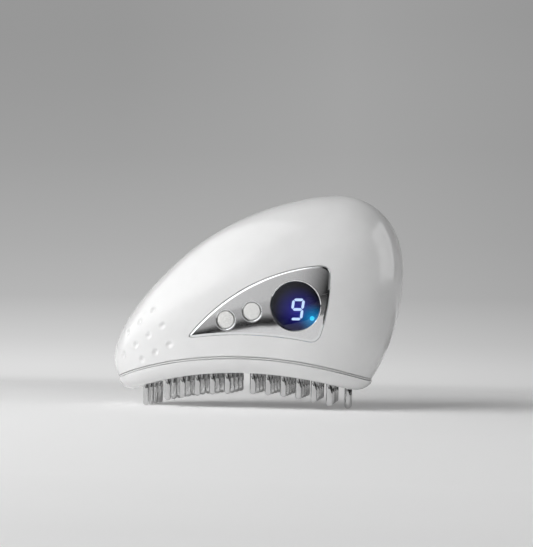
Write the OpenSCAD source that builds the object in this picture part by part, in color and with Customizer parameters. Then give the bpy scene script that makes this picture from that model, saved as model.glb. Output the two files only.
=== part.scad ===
// Handheld electric gua sha massager: a palm-sized shell on a concave head of metal pins.
// Millimetres. X runs from the nose to the tail, Z is up and the pins stand on Z = 0.
// The control panel is on the -Y side.

/* [Body] */
// Length of the body from nose to tail
body_len = 125; // [118:0.5:132]
// Width of the body at its widest
body_w = 62; // [59:0.5:68]
// Height from the pin tips to the crown
body_h = 91; // [86:0.5:97]
// Wall of the upper shell
shell_wall = 2.2; // [1.9:0.1:2.6]
// Width of a grip dimple
dimple_d = 2.4; // [1.6:0.1:3]
// Depth of a grip dimple
dimple_depth = 0.35; // [0.2:0.05:0.5]

/* [Seam and base] */
// Height of the seam at its crown
seam_peak = 21; // [20.6:0.1:22]
// Radius of the seam's arch, seen from the side
seam_r = 171; // [160:1:190]
// Place of the seam's crown along the body
seam_x = -3.8; // [-8:0.1:2]
// Height of the groove that holds the seal
seal_h = 1.1; // [1:0.1:2]
// Depth of the groove in front of the seal
seal_step = 0.4; // [0.3:0.1:0.8]
// Height of the locating lip above the seam
lip_h = 3; // [2:0.1:4]
// Thickness of the locating lip
lip_t = 1; // [0.8:0.1:1.4]
// Wall of the base frame
base_wall = 2.8; // [2.4:0.1:3.2]
// Floor of the base frame above the concave face
floor_t = 2; // [1.6:0.1:2.4]
// Radius of the concave face
face_r = 157; // [140:1:180]
// How far the base draws in at the nose and the tail
end_taper = 7.5; // [6:0.1:8]
// How far the base draws in at the sides
side_taper = 4; // [3:0.1:5]

/* [Pins] */
// Diameter of a massage pin
pin_d = 2.8; // [2.4:0.1:3]
// Length of a pin below the concave face
pin_len = 8.9; // [7.5:0.1:10]
// Distance between pins along a row
pin_pitch = 6.35; // [6:0.05:6.5]
// Distance between the long rows
row_pitch = 11; // [9.5:0.1:11.5]
// Pins in a long row on the nose side of the gap
nose_columns = 5; // [3:1:5]
// Pins in a long row on the tail side of the gap
tail_columns = 6; // [3:1:6]
// Gap between the two fields, pin centre to pin centre
field_gap = 10.8; // [10:0.1:12]
// Middle of the gap along the body
field_x = -4.25; // [-5:0.05:-3.5]
// Place of the short row at the nose
nose_row_x = -45.5; // [-46:0.1:-45]
// Distance between pins in the nose row
nose_row_pitch = 8; // [6:0.1:8.4]
// Place of the short row at the tail
tail_row_x = 39.6; // [39:0.1:40]
// Distance between pins in the tail row
tail_row_pitch = 7; // [5:0.1:8]
// Clearance round a pin in the floor
pin_gap = 0.12; // [0.08:0.01:0.2]
// Diameter of a pin's head
pin_head_d = 3.8; // [3.4:0.1:4.2]
// Thickness of a pin's head
pin_head_t = 1; // [0.8:0.1:1.4]
// Thickness of the tooth plate
plate_t = 1.5; // [1.2:0.1:1.8]

/* [Panel] */
// Length of the panel's outline
panel_len = 59.3; // [57:0.1:60]
// Height of the panel's outline
panel_rise = 31.6; // [31:0.1:33]
// Tip of the panel along the body
panel_x = -24.7; // [-26:0.1:-23]
// Lowest point of the panel
panel_z = 27.3; // [26.5:0.1:28]
// Thickness of the bezel
bezel_t = 1.2; // [1:0.05:1.3]
// How proud the bezel's face stands of the shell
bezel_proud = 0.2; // [0.1:0.05:0.4]
// Ledge of the shell behind the bezel's edge
ledge_w = 1.6; // [1.2:0.1:2]
// Display centre from the panel's tip
display_x = 44.7; // [44:0.1:45.5]
// Display centre above the panel's lowest point
display_z = 14.8; // [14.3:0.1:15.3]
// Diameter of the display lens
lens_d = 19.8; // [19.2:0.1:20.6]
// Width of the ring round the lens
rim_w = 0.4; // [0.3:0.05:0.6]
// Thickness of the lens
lens_t = 1.2; // [1:0.1:1.5]
// Height of the lit digit
digit_h = 7.7; // [7:0.1:10]
// Width of the lit digit
digit_w = 4; // [3:0.1:5]
// Width of a bar of the digit
bar_w = 1.15; // [0.8:0.05:1.4]

/* [Buttons] */
// Diameter of a button cap
button_d = 6.9; // [6.5:0.1:7.2]
// Travel of a button
button_travel = 0.4; // [0.25:0.05:0.5]
// How proud a cap stands of the shell
button_proud = 0.7; // [0.5:0.05:1]
// Width of the ring round a button
ring_w = 0.85; // [0.6:0.05:1]
// Clearance round a button cap
button_gap = 0.2; // [0.15:0.01:0.3]
// Power button from the panel's tip
power_x = 16.2; // [15.6:0.1:16.6]
// Power button above the panel's lowest point
power_z = 9; // [8.7:0.1:9.5]
// Level button from the panel's tip
level_x = 27; // [26.6:0.1:27.4]
// Level button above the panel's lowest point
level_z = 12.5; // [12:0.1:13]

/* [Inside] */
// Height of the chassis plate
chassis_z = 24; // [23.8:0.1:25]
// Thickness of the chassis plate
chassis_t = 2; // [1.6:0.1:2.4]
// Diameter of the motor's can
motor_d = 17; // [15:0.5:18]
// Length of the motor's can
motor_len = 26; // [22:0.5:28]
// Tail end of the motor
motor_x = -10; // [-11:0.5:-9.5]
// Diameter of the motor's shaft
shaft_d = 2; // [1.5:0.1:2.5]
// Radius of the eccentric weight
weight_r = 7; // [5:0.5:7.5]
// Length of the eccentric weight
weight_len = 6; // [4:0.5:7]
// Diameter of the battery cell
cell_d = 18.4; // [16:0.2:18.6]
// Length of the battery cell
cell_len = 50; // [44:1:52]
// Nose end of the battery cell
cell_x = -3; // [-4:0.5:-2]
// Thickness of the boards
board_t = 1.2; // [0.8:0.1:1.6]
// Depth of the panel board behind the panel
panel_board_depth = 10; // [9.6:0.1:11]
// Height of the main board
board_z = 48; // [47.5:0.1:49]
// Place of the charging socket along the body
socket_x = 22; // [16:0.5:26]
// Width of the charging socket
socket_w = 8.94; // [8:0.02:9.4]
// Height of the charging socket
socket_h = 3.26; // [3:0.02:3.6]
// Length of the charging socket
socket_len = 7.35; // [7:0.05:9]

/* [Fasteners] */
// Shank diameter of a case screw
case_screw_d = 2.3; // [2:0.1:2.5]
// Head diameter of a case screw
case_head_d = 4.2; // [3.8:0.1:4.4]
// Shank diameter of a small screw
small_screw_d = 1.7; // [1.4:0.1:1.9]
// Head diameter of a small screw
small_head_d = 3.2; // [2.8:0.1:3.4]
// Wall of a screw boss
boss_wall = 0.9; // [0.8:0.1:1.2]
// Place of the tail case screws along the body
tail_screw_x = 38; // [37.5:0.1:38.5]
// Tail case screws from the middle
tail_screw_y = 11; // [10.6:0.1:11.5]
// Side case screws inside the base's edge
side_screw_inset = 8.2; // [8:0.1:8.8]

/* [Hidden] */

white = "#f2f2f0";
satin = "#c9cbce";
steel = "#b9bcc0";
dark = "#26282b";

// Side view of the body in percent of its length and of its height above the seam: the
// control points of the nose curve and of the tail curve, from the seam up to the crown.
nose_pct_x = [-48, -58.1, -25.2, -34.2, 12.5, 27.7];
nose_pct_z = [0, 33.2, 42.8, 83, 100, 100];
tail_pct_x = [40, 55.4, 45.7, 58.8, 42.4, 27.7];
tail_pct_z = [0, 47.1, 54.2, 77.5, 100, 100];
// Half width from the seam up to the crown, in percent of the widest control value
width_pct = [88.6, 98.5, 100, 95.4, 46.2, 0];
// Plan view: where the body is widest, and how full its two ends are
widest = 0.58;
nose_fullness = 2.2;
tail_fullness = 2.8;
// Panel outline in percent of its length and height, three points for each curved stretch
panel_pct = [
    [[2.2, 10.8], [38.9, 87.6], [89.9, 98.4]],
    [[89.9, 98.4], [100, 100], [99, 80.6]],
    [[99, 80.6], [98.8, 47.1], [92.6, 12.1]],
    [[92.6, 12.1], [90.5, 0], [84.3, 1.6]],
    [[84.3, 1.6], [44.9, 15], [5.2, 5.4]],
    [[5.2, 5.4], [-1, 4.1], [2.2, 10.8]]];
// Each row of dimples: first place along and up, step along and up, how many
dimple_rows = [[-41.1, 40.2, -6.2, -4.75, 3], [-36.2, 33.8, -6.3, -4.1, 4], [-32.9, 25.9, -6.35, -3.2, 3]];
// Bars of a plain seven-segment nine: a, b, c, d, f, g as start and end in halves of the digit
digit_bars = [[[-1, 2], [1, 2]], [[1, 2], [1, 0]], [[1, 0], [1, -2]], [[-1, -2], [1, -2]],
    [[-1, 2], [-1, 0]], [[-1, 0], [1, 0]]];
digit_slant = 0.14;
bar_gap = 0.3;
// The status light beside the digit: its radius, and its place right of and below the centre
led_r = 1.1;
led_x = 6.5;
led_z = 4.8;

fine = 48;
round_steps = 56;
seat_gap = 0.1;
far = 200;

function bez(c, u) = len(c) == 1 ? c[0]
    : bez([for (i = [0:len(c) - 2]) c[i] * (1 - u) + c[i + 1] * u], u);
steps = [for (i = [0:80]) i / 80];
raw_low = min([for (u = steps) bez(nose_pct_x, u)]);
raw_high = max([for (u = steps) bez(tail_pct_x, u)]);
raw_wide = max([for (u = steps) bez(width_pct, u)]);
len_k = body_len / (raw_high - raw_low);
raw_mid = (raw_high + raw_low) / 2;

function nose_x(u) = (bez(nose_pct_x, u) - raw_mid) * len_k;
function tail_x(u) = (bez(tail_pct_x, u) - raw_mid) * len_k;
function half_w(u) = bez(width_pct, u) / raw_wide * body_w / 2;
function arch_drop(x, r) = r - sqrt(r * r - x * x);
function seam_z(x) = seam_peak - arch_drop(x - seam_x, seam_r);
seam_low = seam_z(nose_x(0));
rise = body_h - seam_low;

// The concave face and the pin tips share one arch, centred between the two end rows
face_x = (nose_row_x + tail_row_x) / 2;
face_peak = pin_len + arch_drop(tail_row_x - face_x, face_r);
face_cz = face_peak - face_r;
function face_z(x, up = 0) = face_cz + sqrt(pow(face_r + up, 2) - pow(x - face_x, 2));

function fullness(c) = c < 0 ? nose_fullness : tail_fullness;
function across(c) = sign(c) * pow(abs(c), 2 / fullness(c));
function aside(a) = sign(sin(a)) * pow(abs(sin(a)), 2 / fullness(cos(a)));

// Point of the body at level u and angle a, with the surface taken in by t.
// Near the seam the level curves follow the seam's arch.
function body_pt(u, a, t) = let(
    kx = 1 - 2 * t / body_len,
    ky = 1 - 2 * t / body_w,
    kz = 1 - t / rise,
    f = nose_x(u) * kx,
    g = tail_x(u) * kx,
    m = f + (g - f) * widest,
    c = across(cos(a)),
    x = m + c * (c < 0 ? m - f : g - m),
    s = (x - f) / (g - f),
    z = rise * kz * (bez(nose_pct_z, u) * (1 - s) + bez(tail_pct_z, u) * s) / 100,
    lift = (seam_z(x) + seal_h / 2 - seam_low) * pow(1 - u, 2))
    [x, half_w(u) * ky * aside(a), seam_low + z + lift];
function ring_angles(n) = [for (i = [0:n - 1]) 360 * i / n];
function body_loop(u, t, n) = [for (a = ring_angles(n)) body_pt(u, a, t)];

// Half width of the outside at a place in the side view
function level_z(u, x) = let(
    f = nose_x(u),
    g = tail_x(u),
    s = (x - f) / (g - f))
    seam_low + rise * (bez(nose_pct_z, u) * (1 - s) + bez(tail_pct_z, u) * s) / 100
    + (seam_z(x) + seal_h / 2 - seam_low) * pow(1 - u, 2);
function level_at(x, z, lo = 0, hi = 0.95, k = 18) = k == 0 ? (lo + hi) / 2
    : let(m = (lo + hi) / 2) level_z(m, x) < z ? level_at(x, z, m, hi, k - 1) : level_at(x, z, lo, m, k - 1);
function side_y(x, z) = let(
    u = level_at(x, z),
    f = nose_x(u),
    g = tail_x(u),
    m = f + (g - f) * widest,
    c = (x - m) / (x < m ? m - f : g - m))
    half_w(u) * pow(max(0, 1 - pow(abs(c), fullness(c))), 1 / fullness(c));
function side_normal(x, z) = let(
    d = 0.5,
    n = [side_y(x - d, z) - side_y(x + d, z), -2 * d, side_y(x, z - d) - side_y(x, z + d)])
    n / norm(n);

// Plan outline at the seam, taken in by an end and a side amount
function plan_pt(a, e, s) = let(
    f = nose_x(0) + e,
    g = tail_x(0) - e,
    m = f + (g - f) * widest,
    c = across(cos(a)))
    [m + c * (c < 0 ? m - f : g - m), (half_w(0) - s) * aside(a)];
function plan(e, s, n = round_steps) = [for (a = ring_angles(n)) plan_pt(a, e, s)];
function at_seam(path, up) = [for (p = path) [p[0], p[1], seam_z(p[0]) + up]];
function at_face(path, up) = [for (p = path) [p[0], p[1], face_z(p[0], up)]];

// Base frame, from the rim (v = 0) round to the concave face (v = 1). Its section is a
// superellipse, between a chamfer (1) and a quarter round (2).
base_fullness = 1.5;
function base_loop(v) = let(
    drawn = 1 - pow(cos(90 * v), 2 / base_fullness),
    path = plan(end_taper * drawn, side_taper * drawn),
    k = pow(sin(90 * v), 2 / base_fullness))
    [for (p = path) [p[0], p[1], (seam_z(p[0]) - seal_h / 2) * (1 - k) + face_z(p[0]) * k]];

// A closed solid through loops of equal length, listed from the lowest up. Each loop is
// symmetric about X, so that strips across it close the two ends.
module loft(loops) {
    n = len(loops[0]);
    last = (len(loops) - 1) * n;
    sides = [for (r = [0:len(loops) - 2]) for (j = [0:n - 1]) let(a = r * n + j, b = r * n + (j + 1) % n)
        each [[a, a + n, b + n], [a, b + n, b]]];
    low = [for (j = [0:n / 2 - 1]) each concat(j < n / 2 - 1 ? [[j, j + 1, n - j - 1]] : [],
        j > 0 ? [[j, n - j - 1, n - j]] : [])];
    top = [for (f = low) [f[2] + last, f[1] + last, f[0] + last]];
    polyhedron([for (l = loops) each l], concat(sides, low, top));
}

// Panel outline as points in X and Z, taken in by d
panel_path = [for (s = panel_pct) for (i = [0:5]) let(p = bez(s, i / 6))
    [panel_x + panel_len * p[0] / 100, panel_z + panel_rise * p[1] / 100]];
// The same outline taken in by d, without the points that would fold over at its tip
function inset(path, d) = let(n = len(path)) [for (i = [0:n - 1])
    let(t = path[(i + 1) % n] - path[(i + n - 1) % n], q = path[i] + d * [t[1], -t[0]] / norm(t))
        if (d <= 0 || min([for (p = path) norm(p - q)]) > 0.97 * d) q];
module prism_y(path, y0, y1) {
    translate([0, y1, 0]) rotate([90, 0, 0]) linear_extrude(y1 - y0) polygon(path);
}
module panel_prism(d) {
    prism_y(inset(panel_path, d), -far / 4, -body_w / 4);
}
// The stretch of the panel side between two depths below the surface
module panel_skin(d0, d1) {
    nx = 13;
    nz = 8;
    margin = 3;
    grid = [for (j = [0:nz]) for (i = [0:nx]) let(
        x = panel_x - margin + (panel_len + 2 * margin) * i / nx,
        z = panel_z - margin + (panel_rise + 2 * margin) * j / nz)
        [x, -side_y(x, z), z]];
    m = len(grid);
    w = nx + 1;
    front = [for (j = [0:nz - 1]) for (i = [0:nx - 1]) let(a = j * w + i)
        each [[a, a + w, a + w + 1], [a, a + w + 1, a + 1]]];
    back = [for (f = front) [f[2] + m, f[1] + m, f[0] + m]];
    edge = concat([for (i = [0:nx - 1]) i], [for (j = [0:nz - 1]) j * w + nx],
        [for (i = [nx:-1:1]) nz * w + i], [for (j = [nz:-1:1]) j * w]);
    walls = [for (k = [0:len(edge) - 1]) let(a = edge[k], b = edge[(k + 1) % len(edge)])
        each [[a, b, b + m], [a, b + m, a + m]]];
    polyhedron(concat([for (p = grid) p + [0, d0, 0]], [for (p = grid) p + [0, d1, 0]]),
        concat(front, back, walls));
}

// Cylinders along an axis, given by their two ends
module rod_x(r, x0, x1, y, z) {
    translate([x0, y, z]) rotate([0, 90, 0]) cylinder(h = x1 - x0, r = r, $fn = fine);
}
module rod_y(r, y0, y1, x, z) {
    translate([x, y1, z]) rotate([90, 0, 0]) cylinder(h = y1 - y0, r = r, $fn = fine);
}
module rod_z(r, z0, z1, x, y) {
    translate([x, y, z0]) cylinder(h = z1 - z0, r = r, $fn = fine);
}
module box(x0, x1, y0, y1, z0, z1) {
    translate([x0, y0, z0]) cube([x1 - x0, y1 - y0, z1 - z0]);
}

// A pan-head screw along Z: its head above the seat at 0, its shank below
module screw(shank_d, head_d, length) {
    head_t = head_d * 0.36;
    slot = head_d * 0.16;
    difference() {
        union() {
            translate([0, 0, -length]) cylinder(h = length + 0.1, r = shank_d / 2, $fn = fine);
            cylinder(h = head_t, r = head_d / 2, $fn = fine);
        }
        for (a = [0, 90]) {
            rotate([0, 0, a]) translate([-head_d * 0.32, -slot / 2, head_t / 2])
                cube([head_d * 0.64, slot, head_t]);
        }
    }
}

// Places and heights that several pieces share
display_cx = panel_x + display_x;
display_cz = panel_z + display_z;
display_y = -side_y(display_cx, display_cz);
rim_r = lens_d / 2 + seat_gap / 2 + rim_w;
lens_front = display_y - 0.1;
lens_back = lens_front + lens_t;
module_front = lens_back + 0.45;
board_y = display_y + panel_board_depth;
power_at = [panel_x + power_x, panel_z + power_z];
level_at_xz = [panel_x + level_x, panel_z + level_z];
function bezel_back(p) = -side_y(p[0], p[1]) + bezel_t;
bezel_screws = [[panel_x + 0.145 * panel_len, panel_z + 0.17 * panel_rise],
    [panel_x + 0.575 * panel_len, panel_z + 0.185 * panel_rise],
    [panel_x + 0.915 * panel_len, panel_z + 0.83 * panel_rise]];
bezel_boss_r = small_screw_d / 2 + boss_wall;

plate_low = floor_t + seat_gap;
plate_top = plate_low + plate_t;
plate_inset = base_wall + 0.4 * end_taper + 0.6;
pocket_end = base_wall + 0.4 * end_taper;
pocket_side = base_wall + 0.4 * side_taper;
post_x = [field_x - field_gap / 2 - 3.5 * pin_pitch, field_x + field_gap / 2 + 3.5 * pin_pitch];
post_r = small_screw_d / 2 + boss_wall + 0.8;
post_places = [for (x = post_x) for (s = [-1, 1]) [x, s * row_pitch]];
side_screw_y = half_w(0) - side_screw_inset;
case_places = [[field_x, -side_screw_y], [field_x, side_screw_y],
    [tail_screw_x, -tail_screw_y], [tail_screw_x, tail_screw_y]];
case_boss_r = case_head_d / 2 + 0.15 + boss_wall;
case_seat_up = 3;
// A base boss ends just above the seam, where the shell's boss begins
function boss_split(p) = let(near = max(0, abs(p[0] - seam_x) - case_boss_r))
    seam_z(seam_x + near) + seal_h / 2 + 2 * seat_gap;
boss_rise = 7.5;
rib_t = 2.4;
// The tongue at the nose and the two ribs beside it
tongue_t = 1.8;
tongue_w = 10.4;
tongue_in = 5;
tongue_rise = 10;
guide_gap = 0.7;
guide_t = 1.2;
guide_h = 8;

chassis_top = chassis_z + chassis_t;
axis_z = chassis_top + 1.2 + max(motor_d / 2 + 0.8, cell_d / 2);
damper_t = 0.7;
saddle_r = motor_d / 2 + damper_t + seat_gap;
motor_nose = motor_x - motor_len;
bracket_x = [max(motor_nose + 4, post_x[0] + small_head_d / 2 + 0.5), motor_x - 4];
strap_t = 0.8;
strap_w = 8;
foot_len = 5;
foot_t = 1.2;
motor_strap_x = (bracket_x[0] + bracket_x[1]) / 2;
cell_end = cell_x + cell_len;
cell_strap_x = cell_x + 20;
cradle_r = cell_d / 2 + seat_gap;
chassis_end = tail_screw_x - case_boss_r - 0.6;
cradle_x = [cell_x + 7, chassis_end - 5];

board_x = [-5.5, 34];
board_low_y = -14;
socket_out = side_y(socket_x, board_z + board_t + socket_h / 2) - 0.5;
board_edge = socket_out - 3;
board_posts = [for (x = [-2.5, 30]) for (y = [-11.8, 15]) [x, y]];
board_post_r = small_screw_d / 2 + boss_wall - 0.1;
board_top = board_z + board_t;
switch_side = 6;
switch_t = 3.5;
plunger_r = 1.6;
plunger_out = 1;
small_hole_r = small_screw_d / 2 + 0.05;
post_screw_len = 6;
board_screw_len = 5;
case_hole_r = case_screw_d / 2 + 0.05;

function row_x() = concat(
    [for (i = [0:nose_columns - 1]) field_x - field_gap / 2 - i * pin_pitch],
    [for (i = [0:tail_columns - 1]) field_x + field_gap / 2 + i * pin_pitch]);
function row_places(k) = [for (x = row_x()) [x, k * row_pitch]];
nose_places = [for (k = [-1.5:1:1.5]) [nose_row_x, k * nose_row_pitch]];
tail_places = [for (k = [-0.5, 0.5]) [tail_row_x, k * tail_row_pitch]];
all_pins = concat(row_places(-1.5), row_places(-0.5), row_places(0.5), row_places(1.5),
    nose_places, tail_places);

module upper_shell() {
    levels = 22;
    inner_levels = 15;
    inner_steps = 40;
    mouth = [for (p = body_loop(0, shell_wall, inner_steps)) p - [0, 0, 3]];
    color(white) difference() {
        loft([for (i = [0:levels]) body_loop(0.985 * i / levels, 0, round_steps)]);
        difference() {
            loft(concat([mouth], [for (i = [0:inner_levels])
                body_loop(0.97 * i / inner_levels, shell_wall, inner_steps)]));
            shell_bosses();
        }
        intersection() {
            panel_prism(-seat_gap);
            panel_skin(-4, bezel_t + 0.05);
        }
        prism_y(inset(panel_path, ledge_w), -far / 4, display_y + 6);
        for (p = case_places) rod_z(case_hole_r, 0, boss_split(p) + boss_rise - 1, p[0], p[1]);
        socket_cut(0.3, board_edge, far);
        dimples();
    }
}
module shell_bosses() {
    for (p = case_places) {
        z0 = boss_split(p);
        rod_z(case_hole_r + boss_wall + 0.6, z0, z0 + boss_rise, p[0], p[1]);
    }
    z_side = boss_split(case_places[0]);
    z_tail = boss_split(case_places[2]);
    z_nose = seam_z(nose_x(0) + tongue_in + tongue_t) + lip_h + 0.5;
    for (s = [0, 1]) mirror([0, s, 0]) {
        box(field_x - rib_t / 2, field_x + rib_t / 2, side_screw_y + 1.5, far / 2,
            seam_peak + lip_h + 0.4, z_side + boss_rise);
        box(tail_screw_x + 1.5, far / 2, tail_screw_y - rib_t / 2, tail_screw_y + rib_t / 2,
            z_tail, z_tail + boss_rise);
        translate([0, tongue_w / 2 + guide_gap, z_nose])
            box(-far / 2, nose_x(0) + tongue_in + tongue_t, 0, guide_t, 0, guide_h);
    }
}
// A frame that turns Z onto the direction n
function facing(n) = let(
    a = cross([0, 0, 1], n) / norm(cross([0, 0, 1], n)),
    b = cross(n, a))
    [[a[0], b[0], n[0], 0], [a[1], b[1], n[1], 0], [a[2], b[2], n[2], 0], [0, 0, 0, 1]];
module dimples() {
    for (row = dimple_rows) for (i = [0:row[4] - 1]) {
        x = (row[0] + i * row[2]) * body_len / 125;
        z = row[1] + i * row[3];
        n = side_normal(x, z);
        for (m = [0, 1]) mirror([0, m, 0]) translate([x, -side_y(x, z), z] - n * dimple_depth)
            multmatrix(facing(n))
                cylinder(h = 2 * dimple_depth, r1 = dimple_d / 5, r2 = dimple_d * 4 / 5, $fn = 10);
    }
}
// The round-ended mouth of the charging socket, grown by g
module socket_cut(g, y0, y1) {
    r = socket_h / 2 + g;
    z = board_top + socket_h / 2;
    half = socket_w / 2 - socket_h / 2;
    for (s = [-1, 1]) rod_y(r, y0, y1, socket_x + s * half, z);
    box(socket_x - half, socket_x + half, y0, y1, z - r, z + r);
}

module base_frame() {
    turns = 6;
    lip_in = shell_wall + 0.25;
    outer = concat([for (i = [turns:-1:0]) base_loop(i / turns)],
        [at_seam(plan(lip_in, lip_in), -seal_h / 2), at_seam(plan(lip_in, lip_in), lip_h)]);
    pocket = [at_face(plan(pocket_end, pocket_side), floor_t),
        at_seam(plan(base_wall + 0.65, base_wall + 0.65), -2),
        at_seam(plan(lip_in + lip_t, lip_in + lip_t), lip_h + 2)];
    color(white) difference() {
        union() {
            difference() {
                loft(outer);
                loft(pocket);
            }
            for (p = post_places) rod_z(post_r, face_z(p[0]) + 0.5, chassis_z, p[0], p[1]);
            for (p = case_places) rod_z(case_boss_r, face_z(p[0]) + 1, boss_split(p) - seat_gap, p[0], p[1]);
            translate([nose_x(0) + tongue_in, 0, 0]) box(0, tongue_t, -tongue_w / 2, tongue_w / 2,
                face_z(nose_x(0)) + floor_t + 1, seam_z(nose_x(0)) + tongue_rise);
        }
        for (p = all_pins) rod_z(pin_d / 2 + pin_gap, 0, face_z(p[0]) + far / 20, p[0], p[1]);
        for (p = post_places) rod_z(small_hole_r, chassis_z - post_screw_len, chassis_z + 1, p[0], p[1]);
        for (p = case_places) {
            rod_z(case_hole_r, 0, far / 4, p[0], p[1]);
            rod_z(case_head_d / 2 + 0.15, 0, face_z(p[0]) + case_seat_up, p[0], p[1]);
        }
    }
}
module seam_seal() {
    edge = seal_h / 2 - 0.05;
    color("#b9bbbd") difference() {
        loft([at_seam(plan(seal_step, seal_step), -edge), at_seam(plan(seal_step, seal_step), edge)]);
        loft([at_seam(plan(shell_wall, shell_wall), -2), at_seam(plan(shell_wall, shell_wall), 2)]);
    }
}
module case_screws() {
    color(steel) for (p = case_places) {
        seat = face_z(p[0]) + case_seat_up;
        translate([p[0], p[1], seat]) rotate([180, 0, 0])
            screw(case_screw_d, case_head_d, boss_split(p) + boss_rise - 2 - seat);
    }
}

module panel_bezel() {
    color(satin) difference() {
        union() {
            intersection() {
                panel_prism(0);
                panel_skin(-bezel_proud, bezel_t);
            }
            for (p = bezel_screws) rod_y(bezel_boss_r, bezel_back(p) - 0.3, board_y, p[0], p[1]);
        }
        rod_y(rim_r + seat_gap / 2, -far / 4, board_y - 2, display_cx, display_cz);
        for (p = [power_at, level_at_xz]) rod_y(ring_out_r() + seat_gap / 2, -far / 4, board_y - 2, p[0], p[1]);
        for (p = bezel_screws) rod_y(small_hole_r, bezel_back(p) + 0.3, board_y + 1, p[0], p[1]);
    }
}
function ring_in_r() = button_d / 2 + button_gap;
function ring_out_r() = ring_in_r() + ring_w;
function button_front(p) = -side_y(p[0], p[1]) - button_proud;
module button_ring(p) {
    color("#d9dbde") difference() {
        rod_y(ring_out_r(), button_front(p) + 0.25, bezel_back(p), p[0], p[1]);
        rod_y(ring_in_r(), -far / 4, 0, p[0], p[1]);
    }
}
module power_button_ring() {
    button_ring(power_at);
}
module level_button_ring() {
    button_ring(level_at_xz);
}
// A cap with a flange behind the bezel and a stem down to its switch
module button(p) {
    front = button_front(p);
    back = bezel_back(p) + 0.15;
    switch_tip = board_y - switch_t - plunger_out;
    color("#eceae4") {
        rod_y(button_d / 2, front, back + 0.1, p[0], p[1]);
        rod_y(ring_in_r() + 0.6, back, back + 1, p[0], p[1]);
        rod_y(1.5, back + 0.5, switch_tip, p[0], p[1]);
    }
}
module power_button() {
    button(power_at);
}
module level_button() {
    button(level_at_xz);
}
module plunger(p) {
    color(dark) rod_y(plunger_r, board_y - switch_t - plunger_out, board_y - 1 - button_travel, p[0], p[1]);
}
module power_plunger() {
    plunger(power_at);
}
module level_plunger() {
    plunger(level_at_xz);
}
module tact_switches() {
    color(dark) for (p = [power_at, level_at_xz]) {
        difference() {
            box(p[0] - switch_side / 2, p[0] + switch_side / 2, board_y - switch_t, board_y,
                p[1] - switch_side / 2, p[1] + switch_side / 2);
            rod_y(plunger_r + 0.06, board_y - switch_t - 1, board_y - 0.8, p[0], p[1]);
        }
    }
}
module display_rim() {
    color("#d9dbde") difference() {
        rod_y(rim_r, lens_front - 0.25, lens_back + 0.2, display_cx, display_cz);
        rod_y(lens_d / 2 + seat_gap / 2, -far / 4, 0, display_cx, display_cz);
    }
}
module display_lens() {
    color("#11131a") rod_y(lens_d / 2, lens_front, lens_back, display_cx, display_cz);
}
module display_module() {
    color(dark) rod_y(lens_d / 2 - 0.4, module_front, board_y, display_cx, display_cz);
}
digit_cx = display_cx + 0.6;
digit_cz = display_cz - 1.3;
module digit_segments() {
    color("#c8e8ff") for (b = digit_bars) {
        p0 = [b[0][0] * digit_w / 2, b[0][1] * digit_h / 4];
        p1 = [b[1][0] * digit_w / 2, b[1][1] * digit_h / 4];
        d = (p1 - p0) / norm(p1 - p0);
        q = [-d[1], d[0]] * bar_w / 2;
        a = p0 + d * bar_gap / 2;
        e = p1 - d * bar_gap / 2;
        h = d * bar_w / 2;
        hexagon = [a, a + h + q, e - h + q, e, e - h - q, a + h - q];
        prism_y([for (c = hexagon) [digit_cx + c[0] + c[1] * digit_slant, digit_cz + c[1]]],
            module_front - 0.3, module_front);
    }
}
module status_led() {
    color("#35d8ff") rod_y(led_r, module_front - 0.3, module_front, display_cx + led_x, display_cz - led_z);
}
module panel_board() {
    color("#1f5a3c") difference() {
        prism_y(inset(panel_path, ledge_w + 0.6), board_y, board_y + board_t);
        for (p = bezel_screws) rod_y(small_hole_r, board_y - 1, board_y + board_t + 1, p[0], p[1]);
    }
}
module panel_board_screws() {
    color(steel) for (p = bezel_screws) {
        translate([p[0], board_y + board_t, p[1]]) rotate([-90, 0, 0])
            screw(small_screw_d, small_head_d, board_screw_len);
    }
}

module tooth_plate() {
    color("#a9adb2") difference() {
        intersection() {
            linear_extrude(far / 4) polygon(plan(plate_inset, pocket_side + 0.6));
            arch_ring(plate_low, plate_top);
        }
        box(-far / 2, nose_x(0) + tongue_in + tongue_t + 0.3,
            -tongue_w / 2 - 0.3, tongue_w / 2 + 0.3, 0, far / 4);
        for (p = all_pins) rod_z(pin_d / 2 + 0.03, 0, far / 4, p[0], p[1]);
        for (p = post_places) rod_z(post_r + 0.3, 0, far / 4, p[0], p[1]);
        for (p = case_places) rod_z(case_boss_r + 0.3, 0, far / 4, p[0], p[1]);
        for (s = [-1, 1]) translate([field_x - case_boss_r - 0.3, s > 0 ? side_screw_y : -far / 4, 0])
            cube([2 * case_boss_r + 0.6, far / 4 - side_screw_y, far / 4]);
    }
}
// A band between two radii above the concave face, as wide as the body
module arch_ring(up0, up1) {
    translate([face_x, body_w / 2, face_cz]) rotate([90, 0, 0]) difference() {
        cylinder(h = body_w, r = face_r + up1, $fn = 180);
        translate([0, 0, -1]) cylinder(h = body_w + 2, r = face_r + up0, $fn = 180);
    }
}
module pins(places) {
    color("#c4c7ca") for (p = places) {
        tip = face_z(p[0]) - pin_len;
        slope = (pin_head_d / 2) * abs(p[0] - face_x) / face_r;
        seat = face_z(p[0], plate_top) + slope + 0.05;
        translate([p[0], p[1], tip + pin_d / 2]) sphere(r = pin_d / 2, $fn = fine);
        rod_z(pin_d / 2, tip + pin_d / 2, seat + 0.2, p[0], p[1]);
        rod_z(pin_head_d / 2, seat, seat + pin_head_t, p[0], p[1]);
    }
}
module pin_row_front() {
    pins(row_places(-1.5));
}
module pin_row_inner_front() {
    pins(row_places(-0.5));
}
module pin_row_inner_back() {
    pins(row_places(0.5));
}
module pin_row_back() {
    pins(row_places(1.5));
}
module nose_pins() {
    pins(nose_places);
}
module tail_pins() {
    pins(tail_places);
}
heater_half = field_gap / 2 - pin_head_d / 2 - 0.3;
heater_y = 14;
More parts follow.
